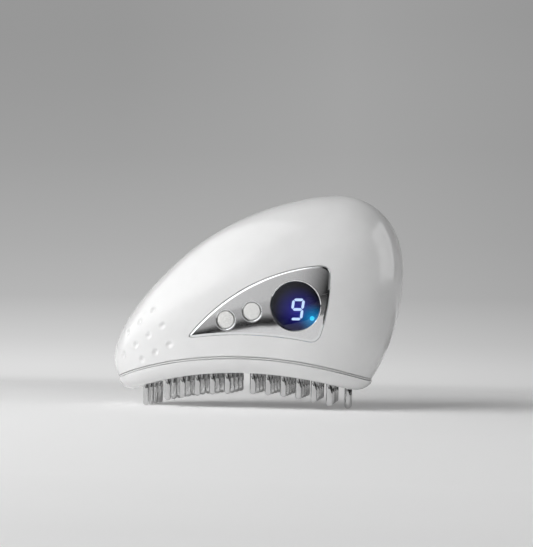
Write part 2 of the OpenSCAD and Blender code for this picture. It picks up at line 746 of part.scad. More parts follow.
lead_hole_r = 2.1;
module heater_strip() {
    color("#b9712f") intersection() {
        box(field_x - heater_half, field_x + heater_half, -heater_y, heater_y, 0, far / 4);
        arch_ring(plate_top + 0.05, plate_top + 0.45);
    }
}
module thermistor() {
    z = face_z(field_x, plate_top) + 0.5;
    color("#6d3b1f") box(field_x - 1.2, field_x + 1.2, -1, 1, z, z + 1.2);
}

module chassis() {
    color("#3a3d42") difference() {
        union() {
            intersection() {
                translate([0, 0, chassis_z]) linear_extrude(chassis_t) polygon(plan(5.5, 5.5));
                box(-far / 2, chassis_end, -far / 2, far / 2, 0, far);
            }
            for (p = board_posts) rod_z(board_post_r, chassis_z + 0.5, board_z, p[0], p[1]);
            for (x = cradle_x) box(x, x + 4, -cell_d / 2, cell_d / 2, chassis_z + 0.5, axis_z - 4);
        }
        rod_x(cradle_r, -far / 2, far / 2, 0, axis_z);
        for (p = post_places) rod_z(small_hole_r, 0, far / 4, p[0], p[1]);
        for (p = [case_places[0], case_places[1]]) {
            rod_z(case_boss_r + 0.4, 0, far / 4, p[0], p[1]);
            translate([p[0] - case_boss_r - 0.4, p[1] > 0 ? p[1] : -far / 4, 0])
                cube([2 * case_boss_r + 0.8, far / 4 - abs(p[1]), far]);
        }
        for (p = board_posts) rod_z(small_hole_r, board_z - board_screw_len, board_z + 1, p[0], p[1]);
        for (p = concat(strap_screws(motor_strap_x, saddle_r), strap_screws(cell_strap_x, cradle_r)))
            rod_z(small_hole_r, 0, far / 4, p[0], p[1]);
        rod_z(lead_hole_r, 0, far / 4, field_x - 1.25, heater_y - 0.2);
    }
}
module chassis_screws() {
    color(steel) for (p = post_places)
        translate([p[0], p[1], chassis_top]) screw(small_screw_d, small_head_d, post_screw_len);
}
function strap_screws(x, r) = [for (s = [-1, 1]) [x, s * (r + strap_t + foot_len / 2 + 0.3)]];
// A half band over a round piece, with legs down to two feet
module strap(x, r, foot_z) {
    outer = r + strap_t;
    difference() {
        union() {
            rod_x(outer, x - strap_w / 2, x + strap_w / 2, 0, axis_z);
            box(x - strap_w / 2, x + strap_w / 2, -outer, outer, foot_z, axis_z);
            box(x - strap_w / 2, x + strap_w / 2, -outer - foot_len, outer + foot_len, foot_z, foot_z + foot_t);
        }
        rod_x(r, -far / 2, far / 2, 0, axis_z);
        box(-far / 2, far / 2, -r, r, 0, axis_z);
        box(-far / 2, far / 2, -outer, outer, 0, foot_z);
        for (p = strap_screws(x, r)) rod_z(small_hole_r, 0, far, p[0], p[1]);
    }
}
bracket_top = axis_z - 2;
module motor_bracket() {
    half = saddle_r + strap_t + foot_len;
    color("#3a3d42") difference() {
        box(bracket_x[0], bracket_x[1], -half, half, chassis_top, bracket_top);
        rod_x(saddle_r, -far / 2, far / 2, 0, axis_z);
        for (p = strap_screws(motor_strap_x, saddle_r)) rod_z(small_hole_r, 0, far, p[0], p[1]);
    }
}
module motor_clamp() {
    color(steel) strap(motor_strap_x, saddle_r, bracket_top);
}
module motor_clamp_screws() {
    color(steel) for (p = strap_screws(motor_strap_x, saddle_r))
        translate([p[0], p[1], bracket_top + foot_t])
            screw(small_screw_d, small_head_d, bracket_top - chassis_top + 2 * foot_t);
}
module motor_damper() {
    color("#2a2b2d") difference() {
        rod_x(motor_d / 2 + damper_t, bracket_x[0] - 1, bracket_x[1] + 1, 0, axis_z);
        rod_x(motor_d / 2 + 0.02, -far / 2, far / 2, 0, axis_z);
    }
}
module motor_can() {
    color(steel) difference() {
        union() {
            rod_x(motor_d / 2, motor_nose, motor_x, 0, axis_z);
            rod_x(3, motor_nose - 1, motor_nose + 1, 0, axis_z);
            for (s = [-1, 1]) box(motor_x - 0.5, motor_x + tab_len, s * tab_y - 1, s * tab_y + 1,
                axis_z - 0.3, axis_z + 0.3);
        }
        rod_x(shaft_d / 2 + 0.05, -far / 2, motor_x - 3, 0, axis_z);
    }
}
shaft_out = weight_len + 2.5;
tab_len = 1.6;
tab_y = 4;
module motor_shaft() {
    color("#d5d7da") rod_x(shaft_d / 2, motor_nose - 1 - shaft_out, motor_x - 3.5, 0, axis_z);
}
// The heavy half hangs below the shaft at rest
module eccentric_weight() {
    x0 = motor_nose - 2 - weight_len;
    hub_r = shaft_d / 2 + 1.4;
    color("#b8933f") difference() {
        union() {
            intersection() {
                rod_x(weight_r, x0, x0 + weight_len, 0, axis_z);
                box(-far / 2, far / 2, -far / 2, far / 2, 0, axis_z);
            }
            rod_x(hub_r, x0, x0 + weight_len, 0, axis_z);
        }
        rod_x(shaft_d / 2 + 0.02, -far / 2, far / 2, 0, axis_z);
    }
}
module battery_cell() {
    color("#3d6fb5") {
        rod_x(cell_d / 2, cell_x, cell_end - 1, 0, axis_z);
        rod_x(cell_d / 7, cell_end - 1.5, cell_end, 0, axis_z);
    }
}
module battery_strap() {
    color(steel) strap(cell_strap_x, cradle_r, chassis_top);
}
module battery_strap_screws() {
    color(steel) for (p = strap_screws(cell_strap_x, cradle_r))
        translate([p[0], p[1], chassis_top + foot_t]) screw(small_screw_d, small_head_d, 2.5 * foot_t);
}

module main_board() {
    color("#1f5a3c") difference() {
        box(board_x[0], board_x[1], board_low_y, board_edge, board_z, board_top);
        for (p = board_posts) rod_z(small_hole_r, board_z - 1, board_top + 1, p[0], p[1]);
    }
}
module main_board_screws() {
    color(steel) for (p = board_posts)
        translate([p[0], p[1], board_top]) screw(small_screw_d, small_head_d, board_screw_len);
}
module chip(x, y, w, d, h) {
    box(x - w / 2, x + w / 2, y - d / 2, y + d / 2, board_top, board_top + h);
}
controller_x = 12;
module controller_chip() {
    color(dark) chip(controller_x, 2, 7, 7, 1);
}
module charge_chip() {
    color(dark) chip(22, 8, 4, 4, 0.9);
}
module power_coil() {
    color("#6b6e73") {
        chip(22, 0, 6, 6, 1);
        rod_z(2.6, board_top + 0.9, board_top + 3, 22, 0);
    }
}
connector_h = 3;
motor_plug_y = 2;
heater_plug_y = 8.5;
cell_plug_y = 0;
module board_connectors() {
    color("#e8e4d6") {
        chip(board_x[0] + 3, motor_plug_y, 5, 5, connector_h);
        chip(board_x[0] + 3, heater_plug_y, 5, 5, connector_h);
        chip(board_x[1] - 3, cell_plug_y, 5, 5, connector_h);
        chip(controller_x, board_low_y + 2.5, 12, 3.6, 1.4);
    }
}
module charge_socket() {
    color(steel) difference() {
        socket_cut(0, socket_out - socket_len, socket_out);
        socket_mouth();
    }
}
module socket_mouth() {
    skin = 0.3;
    bottom = socket_out - socket_len + 1;
    difference() {
        socket_cut(-skin, bottom, far);
        box(socket_x - 3.3, socket_x + 3.3, 0, socket_out - 0.8,
            board_top + socket_h / 2 - 0.35, board_top + socket_h / 2 + 0.35);
    }
}

// A round lead through a list of points
lead_r = 0.55;
module lead(path) {
    sides = 8;
    n = len(path);
    function along(i) = let(t = path[min(n - 1, i + 1)] - path[max(0, i - 1)]) t / norm(t);
    function ring(i) = let(
        t = along(i),
        u0 = cross(t, [0.13, 0.99, 0.07]),
        u = u0 / norm(u0),
        v = cross(t, u))
        [for (k = [0:sides - 1]) path[i] + lead_r * (cos(360 * k / sides) * u + sin(360 * k / sides) * v)];
    walls = [for (i = [0:n - 2]) for (k = [0:sides - 1]) let(a = i * sides + k, b = i * sides + (k + 1) % sides)
        each [[a, a + sides, b + sides], [a, b + sides, b]]];
    ends = [[for (k = [0:sides - 1]) k], [for (k = [sides - 1:-1:0]) (n - 1) * sides + k]];
    polyhedron([for (i = [0:n - 1]) each ring(i)], concat(walls, ends));
}
function route(corners) = [for (i = [0:12]) bez(corners, i / 12)];
// A pair of leads from one soldered end to a plug on the main board
module lead_pair(start, bend, approach, plug, from_gap) {
    for (s = [-1, 1]) {
        lead(route([start + [0, s * from_gap, 0], bend + [0, s * from_gap, 0],
            approach + [0, s, 0], plug + [0, s, 0]]));
    }
}
plug_z = board_top + connector_h / 2;
module motor_leads() {
    color("#c0392b") lead_pair([motor_x + tab_len + 0.8, 0, axis_z], [motor_x + tab_len + 1, 0, axis_z + 12],
        [motor_x - 4, motor_plug_y, board_top + 6], [board_x[0] + 0.4, motor_plug_y, plug_z], tab_y);
}
module battery_leads() {
    color("#222222") lead_pair([cell_end + 0.65, 0, axis_z], [cell_end + 3, 0, axis_z + 8],
        [cell_end - 2, cell_plug_y, board_top + 4], [board_x[1] - 0.4, cell_plug_y, plug_z], 1.2);
}
module heater_leads() {
    color("#d8b040") for (s = [-1, 1]) {
        x = field_x - 1 + s;
        lead(route([[x, heater_y - 0.7, face_z(field_x, plate_top) + 1.1], [x, heater_y + 1.3, chassis_z + 12],
            [board_x[0] - 9, 10 + s, board_top + 4], [board_x[0] + 0.4, heater_plug_y + s, plug_z]]));
    }
}
module panel_ribbon() {
    t = 0.3;
    ribbon_w = 10;
    low = [board_low_y + 0.3, board_top + 0.7];
    top = [board_y + board_t + 0.15, board_top + 3];
    mid = [(low[0] + top[0]) / 2, board_top + 5.5];
    path = [for (i = [0:10]) bez([top, mid, low], i / 10)];
    color("#d9cfae") translate([controller_x - ribbon_w / 2, 0, 0]) rotate([90, 0, 90]) linear_extrude(ribbon_w)
        polygon(concat(path, [for (i = [10:-1:0]) path[i] + [0, t]]));
}

upper_shell();
base_frame();
seam_seal();
panel_bezel();
display_rim();
display_lens();
display_module();
digit_segments();
status_led();
power_button();
level_button();
power_button_ring();
level_button_ring();
power_plunger();
level_plunger();
tact_switches();
panel_board();
panel_board_screws();
tooth_plate();
pin_row_front();
pin_row_inner_front();
pin_row_inner_back();
pin_row_back();
nose_pins();
tail_pins();
heater_strip();
thermistor();
chassis();
chassis_screws();
motor_bracket();
motor_clamp();
motor_clamp_screws();
motor_damper();
motor_can();
motor_shaft();
eccentric_weight();
battery_cell();
battery_strap();
battery_strap_screws();
main_board();
main_board_screws();
controller_chip();
charge_chip();
power_coil();
board_connectors();
charge_socket();
motor_leads();
battery_leads();
heater_leads();
panel_ribbon();
case_screws();
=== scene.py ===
# %% [markdown]
# # A palm massager with a head of metal pins
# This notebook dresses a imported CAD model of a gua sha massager: a glossy white teardrop
# shell, a chrome-plated control panel on one side, and fifty polished pins under a concave
# base. The CAD solids are loaded first and stay the fixed frame that everything fits.
# Lengths in the script are in millimetres and are turned to metres when a mesh is made.

# %% Load the frame
import bpy
import bmesh
import math
import numpy as np
from mathutils import Matrix, Vector


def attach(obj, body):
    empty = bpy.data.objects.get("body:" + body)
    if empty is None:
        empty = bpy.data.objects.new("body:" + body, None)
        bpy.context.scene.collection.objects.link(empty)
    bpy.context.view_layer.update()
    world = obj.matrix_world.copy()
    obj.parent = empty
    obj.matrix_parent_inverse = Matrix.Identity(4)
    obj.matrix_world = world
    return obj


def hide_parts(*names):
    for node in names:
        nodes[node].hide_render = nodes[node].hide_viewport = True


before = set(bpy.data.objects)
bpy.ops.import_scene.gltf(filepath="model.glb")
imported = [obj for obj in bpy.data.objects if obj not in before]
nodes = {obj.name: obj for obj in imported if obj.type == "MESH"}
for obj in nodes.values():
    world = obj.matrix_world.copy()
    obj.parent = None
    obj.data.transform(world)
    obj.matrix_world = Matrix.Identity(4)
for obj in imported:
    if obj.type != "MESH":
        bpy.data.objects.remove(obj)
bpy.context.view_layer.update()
MM = 0.001

# %% [markdown]
# ## Small helpers
# Colours are written as sRGB hex values, as a paint chart gives them, and one function
# turns them to the linear values that the shader wants. One other function adds a shader
# node with its settings and its links. Three patterns of noise then serve every finish: a
# colour that is mottled, a roughness that is uneven, and fine ripples in the surface.

# %% Colour and node helpers
RGBA = {"data_type": "RGBA"}


def linear(hex_colour, alpha=1.0):
    values = [int(hex_colour[i:i + 2], 16) / 255 for i in (1, 3, 5)]
    return tuple(v / 12.92 if v <= 0.04045 else ((v + 0.055) / 1.055) ** 2.4 for v in values) + (alpha,)


def add(tree, kind, settings=None, **inputs):
    """A new node: settings are attributes, inputs are values or other nodes' output sockets."""
    node = tree.nodes.new(kind)
    for key, value in (settings or {}).items():
        setattr(node, key, value)
    for key, value in inputs.items():
        name = key.replace("_", " ")
        socket = node.inputs[int(key[1:])] if key[1:].isdigit() else node.inputs[name]
        if isinstance(value, bpy.types.NodeSocket):
            tree.links.new(value, socket)
        else:
            socket.default_value = value
    return node


def empty_material(name):
    """A material with no nodes yet, and its tree."""
    material = bpy.data.materials.new(name)
    material.use_nodes = True
    material.node_tree.nodes.clear()
    return material, material.node_tree


def start_material(name):
    """A material with a Principled shader wired to its output."""
    material, tree = empty_material(name)
    shader = add(tree, "ShaderNodeBsdfPrincipled")
    add(tree, "ShaderNodeOutputMaterial", Surface=shader.outputs[0])
    return material, tree, shader


def grain(tree, size_mm, detail=2.0, stretch=(1, 1, 1)):
    """Noise on Object coordinates whose cells are about size_mm across."""
    place = add(tree, "ShaderNodeTexCoord")
    turn = add(tree, "ShaderNodeMapping", Vector=place.outputs["Object"], Scale=stretch)
    noise = add(tree, "ShaderNodeTexNoise", Vector=turn.outputs[0], Scale=1 / (size_mm * MM), Detail=detail)
    return noise.outputs["Fac"]


def patches(tree, low, high, *pattern):
    """A value that wanders from low to high, with the sizes that grain takes."""
    noise = grain(tree, *pattern)
    return add(tree, "ShaderNodeMapRange", i0=noise, i1=0.3, i2=0.7, i3=low, i4=high).outputs[0]


def mottle(tree, shader, low_hex, high_hex, *pattern):
    """A base colour that wanders between two colours."""
    share = patches(tree, 0, 1, *pattern)
    colour = add(tree, "ShaderNodeMix", RGBA, i0=share, i6=linear(low_hex), i7=linear(high_hex))
    tree.links.new(colour.outputs[2], shader.inputs["Base Color"])


def rough(tree, shader, low, high, *pattern):
    """A roughness that wanders from low to high."""
    tree.links.new(patches(tree, low, high, *pattern), shader.inputs["Roughness"])


def ripple(tree, shader, depth_mm, *pattern):
    """Fine waves in the surface, depth_mm deep."""
    waves = add(tree, "ShaderNodeBump", Height=grain(tree, *pattern), Distance=depth_mm * MM, Strength=1.0)
    tree.links.new(waves.outputs[0], shader.inputs["Normal"])


def object_xyz(tree):
    """The X, Y and Z of the Object coordinates."""
    place = add(tree, "ShaderNodeTexCoord")
    return add(tree, "ShaderNodeSeparateXYZ", i0=place.outputs["Object"]).outputs


print("helpers ready, white is", [round(v, 3) for v in linear("#ffffff")])


# %% [markdown]
# ## The rule of the body
# The real shell is moulded in one piece, and its shape follows a few smooth curves: a side
# outline from the nose and from the tail up to the crown, and a plan section that is
# rounder at the nose than at the tail. The CAD source builds its solids from the same
# curves with few faces. Here they are sampled finely, so that a glossy surface has no
# facets, and every other piece is placed on them.

# %% Body curves
BODY_LEN, BODY_W, BODY_H = 125.0, 62.0, 91.0
SEAM_PEAK, SEAM_R, SEAM_X, SEAL_H = 21.0, 171.0, -3.8, 1.1
WIDEST, NOSE_FULLNESS, TAIL_FULLNESS = 0.58, 2.2, 2.8
NOSE_X, NOSE_Z = [-48, -58.1, -25.2, -34.2, 12.5, 27.7], [0, 33.2, 42.8, 83, 100, 100]
TAIL_X, TAIL_Z = [40, 55.4, 45.7, 58.8, 42.4, 27.7], [0, 47.1, 54.2, 77.5, 100, 100]
WIDTH = [88.6, 98.5, 100, 95.4, 46.2, 0]


def bez(points, u):
    """The Bezier curve of any degree through its control points, at u."""
    rows = [p + 0.0 * u for p in points]
    while len(rows) > 1:
        rows = [a * (1 - u) + b * u for a, b in zip(rows, rows[1:])]
    return rows[0]


samples = np.linspace(0, 1, 81)
raw_low, raw_high = bez(NOSE_X, samples).min(), bez(TAIL_X, samples).max()
raw_wide = bez(WIDTH, samples).max()


def nose_x(u):
    return (bez(NOSE_X, u) - (raw_low + raw_high) / 2) * BODY_LEN / (raw_high - raw_low)


def tail_x(u):
    return (bez(TAIL_X, u) - (raw_low + raw_high) / 2) * BODY_LEN / (raw_high - raw_low)


def half_w(u):
    return bez(WIDTH, u) / raw_wide * BODY_W / 2


def seam_z(x):
    return SEAM_PEAK - (SEAM_R - np.sqrt(SEAM_R ** 2 - (x - SEAM_X) ** 2))


seam_low = seam_z(nose_x(0.0))
rise = BODY_H - seam_low


def level_heights(u, s, kz=1.0):
    return rise * kz * (bez(NOSE_Z, u) * (1 - s) + bez(TAIL_Z, u) * s) / 100


def lift(u, x):
    return (seam_z(x) + SEAL_H / 2 - seam_low) * (1 - u) ** 2


def plan_share(angle):
    """Places along and across a plan section, as shares of its half sizes."""
    c, s = np.cos(angle), np.sin(angle)
    n = np.where(c < 0, NOSE_FULLNESS, TAIL_FULLNESS)
    return np.sign(c) * np.abs(c) ** (2 / n), np.sign(s) * np.abs(s) ** (2 / n)


def body_pt(u, angle, inset=0.0):
    """A point of the body's surface, taken in by inset, as an array of x, y, z."""
    f, g = nose_x(u) * (1 - 2 * inset / BODY_LEN), tail_x(u) * (1 - 2 * inset / BODY_LEN)
    m = f + (g - f) * WIDEST
    along, across = plan_share(angle)
    x = m + along * np.where(along < 0, m - f, g - m)
    y = half_w(u) * (1 - 2 * inset / BODY_W) * across
    s = (x - f) / np.maximum(g - f, 1e-9)
    return np.stack([x, y, seam_low + level_heights(u, s, 1 - inset / rise) + lift(u, x)], -1)


def side_y(x, z):
    """Half width of the body at a place in its side view, by bisection on the level."""
    x, z = np.asarray(x, float), np.asarray(z, float)
    low, high = np.zeros_like(x + z), np.full_like(x + z, 0.95)
    for _ in range(30):
        mid = (low + high) / 2
        f, g = nose_x(mid), tail_x(mid)
        under = seam_low + level_heights(mid, (x - f) / (g - f)) + lift(mid, x) < z
        low, high = np.where(under, mid, low), np.where(under, high, mid)
    f, g = nose_x(low), tail_x(low)
    m = f + (g - f) * WIDEST
    c = np.abs((x - m) / np.where(x < m, m - f, g - m))
    n = np.where(x < m, NOSE_FULLNESS, TAIL_FULLNESS)
    return half_w(low) * np.maximum(0, 1 - c ** n) ** (1 / n)


def side_normal(x, z):
    """Outward normal of the panel side at a place in the side view."""
    d = 0.25
    n = np.stack([side_y(x - d, z) - side_y(x + d, z), -2 * d + 0 * np.asarray(x),
                  side_y(x, z - d) - side_y(x, z + d)], -1)
    return n / np.linalg.norm(n, axis=-1, keepdims=True)


print("body from", round(float(raw_low), 2), "to", round(float(raw_high), 2), "percent")
print("the seam ends at z", round(float(seam_low), 2))

# %% [markdown]
# ## Meshes from loops
# Most pieces of this object are lofts: closed loops of the same number of points, joined
# one to the next. A loft that closes on its first loop is a ring, such as a seal, and one
# that ends in a point at each end is a closed shell.

# %% Mesh helpers
def make_object(name, points, faces, material, sharp=35):
    """A mesh object with its place in its mesh, smooth but for edges sharper than sharp."""
    mesh = bpy.data.meshes.new(name)
    mesh.from_pydata([tuple(p) for p in np.asarray(points) * MM], [], [tuple(f) for f in faces])
    mesh.validate()
    obj = bpy.data.objects.new(name, mesh)
    bpy.context.collection.objects.link(obj)
    if material:
        mesh.materials.append(material)
    finish_mesh(obj, sharp)
    return obj


def finish_mesh(obj, sharp=35):
    """Merges doubles, turns faces outwards and sets the smooth shading."""
    work = bmesh.new()
    work.from_mesh(obj.data)
    bmesh.ops.remove_doubles(work, verts=work.verts, dist=1e-7)
    bmesh.ops.recalc_face_normals(work, faces=work.faces)
    work.to_mesh(obj.data)
    work.free()
    obj.data.polygons.foreach_set("use_smooth", [True] * len(obj.data.polygons))
    obj.data.set_sharp_from_angle(angle=math.radians(sharp))


def loft(loops, ring=False):
    """Points and faces of loops joined in order. A loop of one point closes an end."""
    points, starts = [], []
    for loop in loops:
        loop = np.atleast_2d(loop)
        starts.append((len(points), len(loop)))
        points.extend(loop)
    faces = []
    pairs = list(zip(starts, starts[1:])) + ([(starts[-1], starts[0])] if ring else [])
    for (a, na), (b, nb) in pairs:
        for k in range(max(na, nb)):
            quad = [a + k % na, a + (k + 1) % na, b + (k + 1) % nb, b + k % nb]
            faces.append(list(dict.fromkeys(quad)))
    return points, faces


def joined(*parts):
    """Several point and face lists as one."""
    points, faces = [], []
    for part_points, part_faces in parts:
        faces += [[k + len(points) for k in face] for face in part_faces]
        points += list(part_points)
    return points, faces


def lathe(profile, centre, axis="z", steps=48):
    """Turns (radius, height) pairs about an axis through centre. Heights run along the axis."""
    turn = np.linspace(0, 2 * math.pi, steps, endpoint=False)
    loops = []
    for r, h in profile:
        c, s, up = r * np.cos(turn), r * np.sin(turn), np.full(steps, float(h))
        loop = {"z": [c, s, up], "y": [c, up, s], "x": [up, c, s]}[axis]
        loop = np.stack(loop, -1) + np.asarray(centre, float)
        loops.append(loop if r > 1e-6 else loop[:1].mean(0, keepdims=True))
    return loops


def cut(obj, *cutters):
    """Takes the cutters away from obj and deletes them."""
    for cutter in cutters:
        change = obj.modifiers.new("cut", "BOOLEAN")
        change.object, change.operation, change.solver = cutter, "DIFFERENCE", "EXACT"
    view = bpy.context.evaluated_depsgraph_get()
    mesh = bpy.data.meshes.new_from_object(obj.evaluated_get(view))
    obj.modifiers.clear()
    obj.data = mesh
    for cutter in cutters:
        bpy.data.objects.remove(cutter)
    finish_mesh(obj)


def merge_into(main, extra):
    """Joins extra's mesh into main, as one object."""
    bpy.ops.object.select_all(action="DESELECT")
    for piece in (extra, main):
        piece.select_set(True)
    bpy.context.view_layer.objects.active = main
    bpy.ops.object.join()


def report(obj):
    print(obj.name, len(obj.data.polygons), "faces, size in mm",
          [round((max(c) - min(c)) / MM, 1) for c in zip(*[v.co for v in obj.data.vertices])])


print("mesh helpers ready")


# %% [markdown]
# ## White shell material
# The shell and the base are acrylonitrile butadiene styrene (ABS), injection moulded in a
# polished tool. That gives a bright white body colour under a smooth gloss, with a very
# faint orange peel from the plastic's shrinking as it cools. The peel's waves are about
# 3 mm long and a few thousandths of a millimetre deep here.

# %% Glossy ABS
SHELL_HEX, SHELL_COOL_HEX = "#eaeaea", "#e7e7e7"
white_abs, tree, shader = start_material("abs_white_gloss_moulded")
mottle(tree, shader, SHELL_HEX, SHELL_COOL_HEX, 9.0)
rough(tree, shader, 0.13, 0.16, 1.2)
ripple(tree, shader, 0.004, 3.0, 1.0)
shader.inputs["IOR"].default_value = 1.53
shader.inputs["Coat Weight"].default_value = 0.3
shader.inputs["Coat Roughness"].default_value = 0.04
print(white_abs.name, "ready")

# %% [markdown]
# ## Upper shell
# On the real massager this is one thin moulding that fills the palm, with a window in one
# side for the control panel, a slot for the charging plug in the other, and small grip
# dimples at the nose. It could be a subdivided cage, but a loft of the body's own rule is
# exact. Loops run from the middle of the inner crown, down the inside, round the rim and
# up the outside. They lie closer together at the nose, where the dimples need fine points.

# %% Shell surface
WALL, RIM_ROUND = 2.2, 0.2
DIMPLE_ROWS = [(-41.1, 40.2, -6.2, -4.75, 3), (-36.2, 33.8, -6.3, -4.1, 4), (-32.9, 25.9, -6.35, -3.2, 3)]
DIMPLE_R, DIMPLE_DEPTH = 1.7, 0.65
rim_u = 0.0018


def even_angles(u, count, fine_below=-29.0, fine=4.5):
    """Angles that space points evenly round a level, fine times closer at the nose."""
    half = np.linspace(0, math.pi, 20001)
    path = body_pt(u, half)
    step = np.linalg.norm(np.diff(path, axis=0), axis=1)
    step = step * np.where(path[1:, 0] < fine_below, fine, 1.0)
    along = np.concatenate([[0], np.cumsum(step)])
    pick = np.interp(np.linspace(0, along[-1], count + 1), along, half)
    return np.concatenate([pick, 2 * math.pi - pick[-2:0:-1]])


angles = even_angles(0.15, 190)
outer_levels = np.concatenate([np.linspace(rim_u, 0.36, 86), np.linspace(0.36, 0.97, 40)[1:],
                               [0.98, 0.988, 0.994, 0.998]])
outer = np.stack([body_pt(u, angles) for u in outer_levels])

dimples = [(x + i * dx, z + i * dz) for x, z, dx, dz, n in DIMPLE_ROWS for i in range(n)]
for x, z in dimples:
    place = np.array([x, -float(side_y(x, z)), z])
    normal = side_normal(x, z)
    for side in (1, -1):
        mirror = np.array([1, side, 1])
        away = outer - place * mirror
        height = away @ (normal * mirror)
        radial = np.linalg.norm(away - height[..., None] * (normal * mirror), axis=-1)
        near = np.clip(1 - (radial / DIMPLE_R) ** 2, 0, None) * (np.abs(height) < 3)
        outer = outer - (DIMPLE_DEPTH * near ** 1.5)[..., None] * (normal * mirror)

inner_levels = np.concatenate([np.linspace(0, 0.95, 26), [0.98]])
crown_in, crown_out = body_pt(1.0, np.array([0.0]), WALL), body_pt(1.0, np.array([0.0]))
inner = [body_pt(u, angles, WALL) for u in inner_levels[::-1]]
rim = [body_pt(rim_u * (1 - math.sin(t)), angles, RIM_ROUND * (1 - math.cos(t)))
       for t in np.linspace(math.pi / 2, 0, 5)[:-1]]
shell_points, shell_faces = loft([crown_in] + inner + rim + list(outer) + [crown_out])
upper_shell = make_object("shell_moulding", shell_points, shell_faces, white_abs)
report(upper_shell)

# %% [markdown]
# The window's outline is a curved triangle with soft corners, drawn as six short curves.
# A prism of that outline cuts the shell, and a thin ring with a rounded edge lines the
# cut, because a moulded window never has a knife edge.

# %% Panel window and charging slot
PANEL_X, PANEL_Z, PANEL_LEN, PANEL_RISE = -24.7, 27.3, 59.3, 31.6
PANEL_CURVES = [[(2.2, 10.8), (38.9, 87.6), (89.9, 98.4)], [(89.9, 98.4), (100, 100), (99, 80.6)],
                [(99, 80.6), (98.8, 47.1), (92.6, 12.1)], [(92.6, 12.1), (90.5, 0), (84.3, 1.6)],
                [(84.3, 1.6), (44.9, 15), (5.2, 5.4)], [(5.2, 5.4), (-1, 4.1), (2.2, 10.8)]]
SOCKET_X, SOCKET_W, SOCKET_H, BOARD_TOP = 22.0, 8.94, 3.26, 49.2


def outline(count=260):
    """Even points round the panel's outline, as x and z, with their outward normals."""
    u = np.linspace(0, 1, 200, endpoint=False)
    path = np.concatenate([np.stack([bez([p[k] for p in curve], u) for k in (0, 1)], -1)
                           for curve in PANEL_CURVES])
    path = path / 100 * [PANEL_LEN, PANEL_RISE] + [PANEL_X, PANEL_Z]
    closed = np.vstack([path, path[:1]])
    along = np.concatenate([[0], np.cumsum(np.linalg.norm(np.diff(closed, axis=0), axis=1))])
    at = np.linspace(0, along[-1], count, endpoint=False)
    path = np.stack([np.interp(at, along, closed[:, 0]), np.interp(at, along, closed[:, 1])], -1)
    run = np.roll(path, -3, 0) - np.roll(path, 3, 0)
    normal = np.stack([-run[:, 1], run[:, 0]], -1) / np.linalg.norm(run, axis=1)[:, None]
    return path, normal


panel_path, panel_out = outline()


def offset_path(out):
    """The outline moved outwards by out, or inwards, with no fold at its tips."""
    moved = panel_path + panel_out * out
    if out < 0:
        for _ in range(60):
            gap = np.linalg.norm(moved[:, None] - panel_path[None], axis=2).min(1)
            short = gap < -out * 0.985
            if not short.any():
                break
            middle = (np.roll(moved, 1, 0) + np.roll(moved, -1, 0)) / 2
            inward = np.array([PANEL_X + 0.55 * PANEL_LEN, PANEL_Z + 0.4 * PANEL_RISE]) - moved
            inward /= np.linalg.norm(inward, axis=1)[:, None]
            moved = np.where(short[:, None], middle + inward * 0.05, moved)
    return moved


def on_panel(out, depth, path=None):
    """A loop on the body's panel side: the outline moved by out, depth below the surface."""
    path = offset_path(out) if path is None else path
    return np.stack([path[:, 0], -side_y(path[:, 0], path[:, 1]) + depth, path[:, 1]], -1)


def prism(path, y0, y1):
    ends = [np.stack([path[:, 0], np.full(len(path), y), path[:, 1]], -1) for y in (y0, y1)]
    points, faces = loft(ends)
    n = len(path)
    return make_object("cutter", points, faces + [list(range(n))[::-1], list(range(n, 2 * n))], None)


def stadium(grow, count=24):
    """The round-ended slot of the charging socket, as x and z."""
    turn = np.linspace(-math.pi / 2, math.pi / 2, count)
    r, half = SOCKET_H / 2 + grow, (SOCKET_W - SOCKET_H) / 2
    right = np.stack([half + r * np.cos(turn), r * np.sin(turn)], -1)
    return np.vstack([right, -right]) + [SOCKET_X, BOARD_TOP + SOCKET_H / 2]


LIP_OUT, LIP_GAP, LIP_ROUND = 0.32, 0.1, 0.22
# How far along Y a cutter reaches on the panel side and on the far side
PANEL_SIDE, FAR_SIDE, SLOT_PLAY = (-45, -14), (14, 45), 0.3
cut(upper_shell, prism(offset_path(LIP_OUT), *PANEL_SIDE), prism(stadium(SLOT_PLAY), *FAR_SIDE))
lip_turn = np.linspace(0, math.pi / 2, 6)
lip = [(LIP_OUT - LIP_ROUND * math.sin(t), LIP_ROUND * (1 - math.cos(t))) for t in lip_turn]
lip += [(LIP_GAP, 1.5), (0.6, 1.5), (0.6, 0.5)]
lip_ring = make_object("lip", *loft([on_panel(*p) for p in lip], ring=True), white_abs)
merge_into(upper_shell, lip_ring)
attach(upper_shell, "case")
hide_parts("upper_shell")
report(upper_shell)

# %% [markdown]
# ## Base frame
# The base is a shallow tray under the seam, drawn in to a concave face that follows the
# skull or the jaw. It is a loft too: from the middle of the face out to its edge, round a
# soft quarter turn up to the seam, over the lip that locates the shell, and down into the
# tray. The screw recesses and the pin holes are then bored through.

# %% Base tray
FACE_R, PIN_LEN, END_TAPER, SIDE_TAPER, BASE_FULLNESS = 157.0, 8.9, 7.5, 4.0, 1.5
FLOOR_T, BASE_WALL, LIP_H, LIP_T = 2.0, 2.8, 3.0, 1.0
NOSE_ROW_X, TAIL_ROW_X = -45.5, 39.6
face_x = (NOSE_ROW_X + TAIL_ROW_X) / 2
face_peak = PIN_LEN + FACE_R - math.sqrt(FACE_R ** 2 - (TAIL_ROW_X - face_x) ** 2)


def face_z(x, up=0.0):
    return face_peak - FACE_R + np.sqrt((FACE_R + up) ** 2 - (x - face_x) ** 2)


base_angles = even_angles(0.0, 110, fine=1.6)


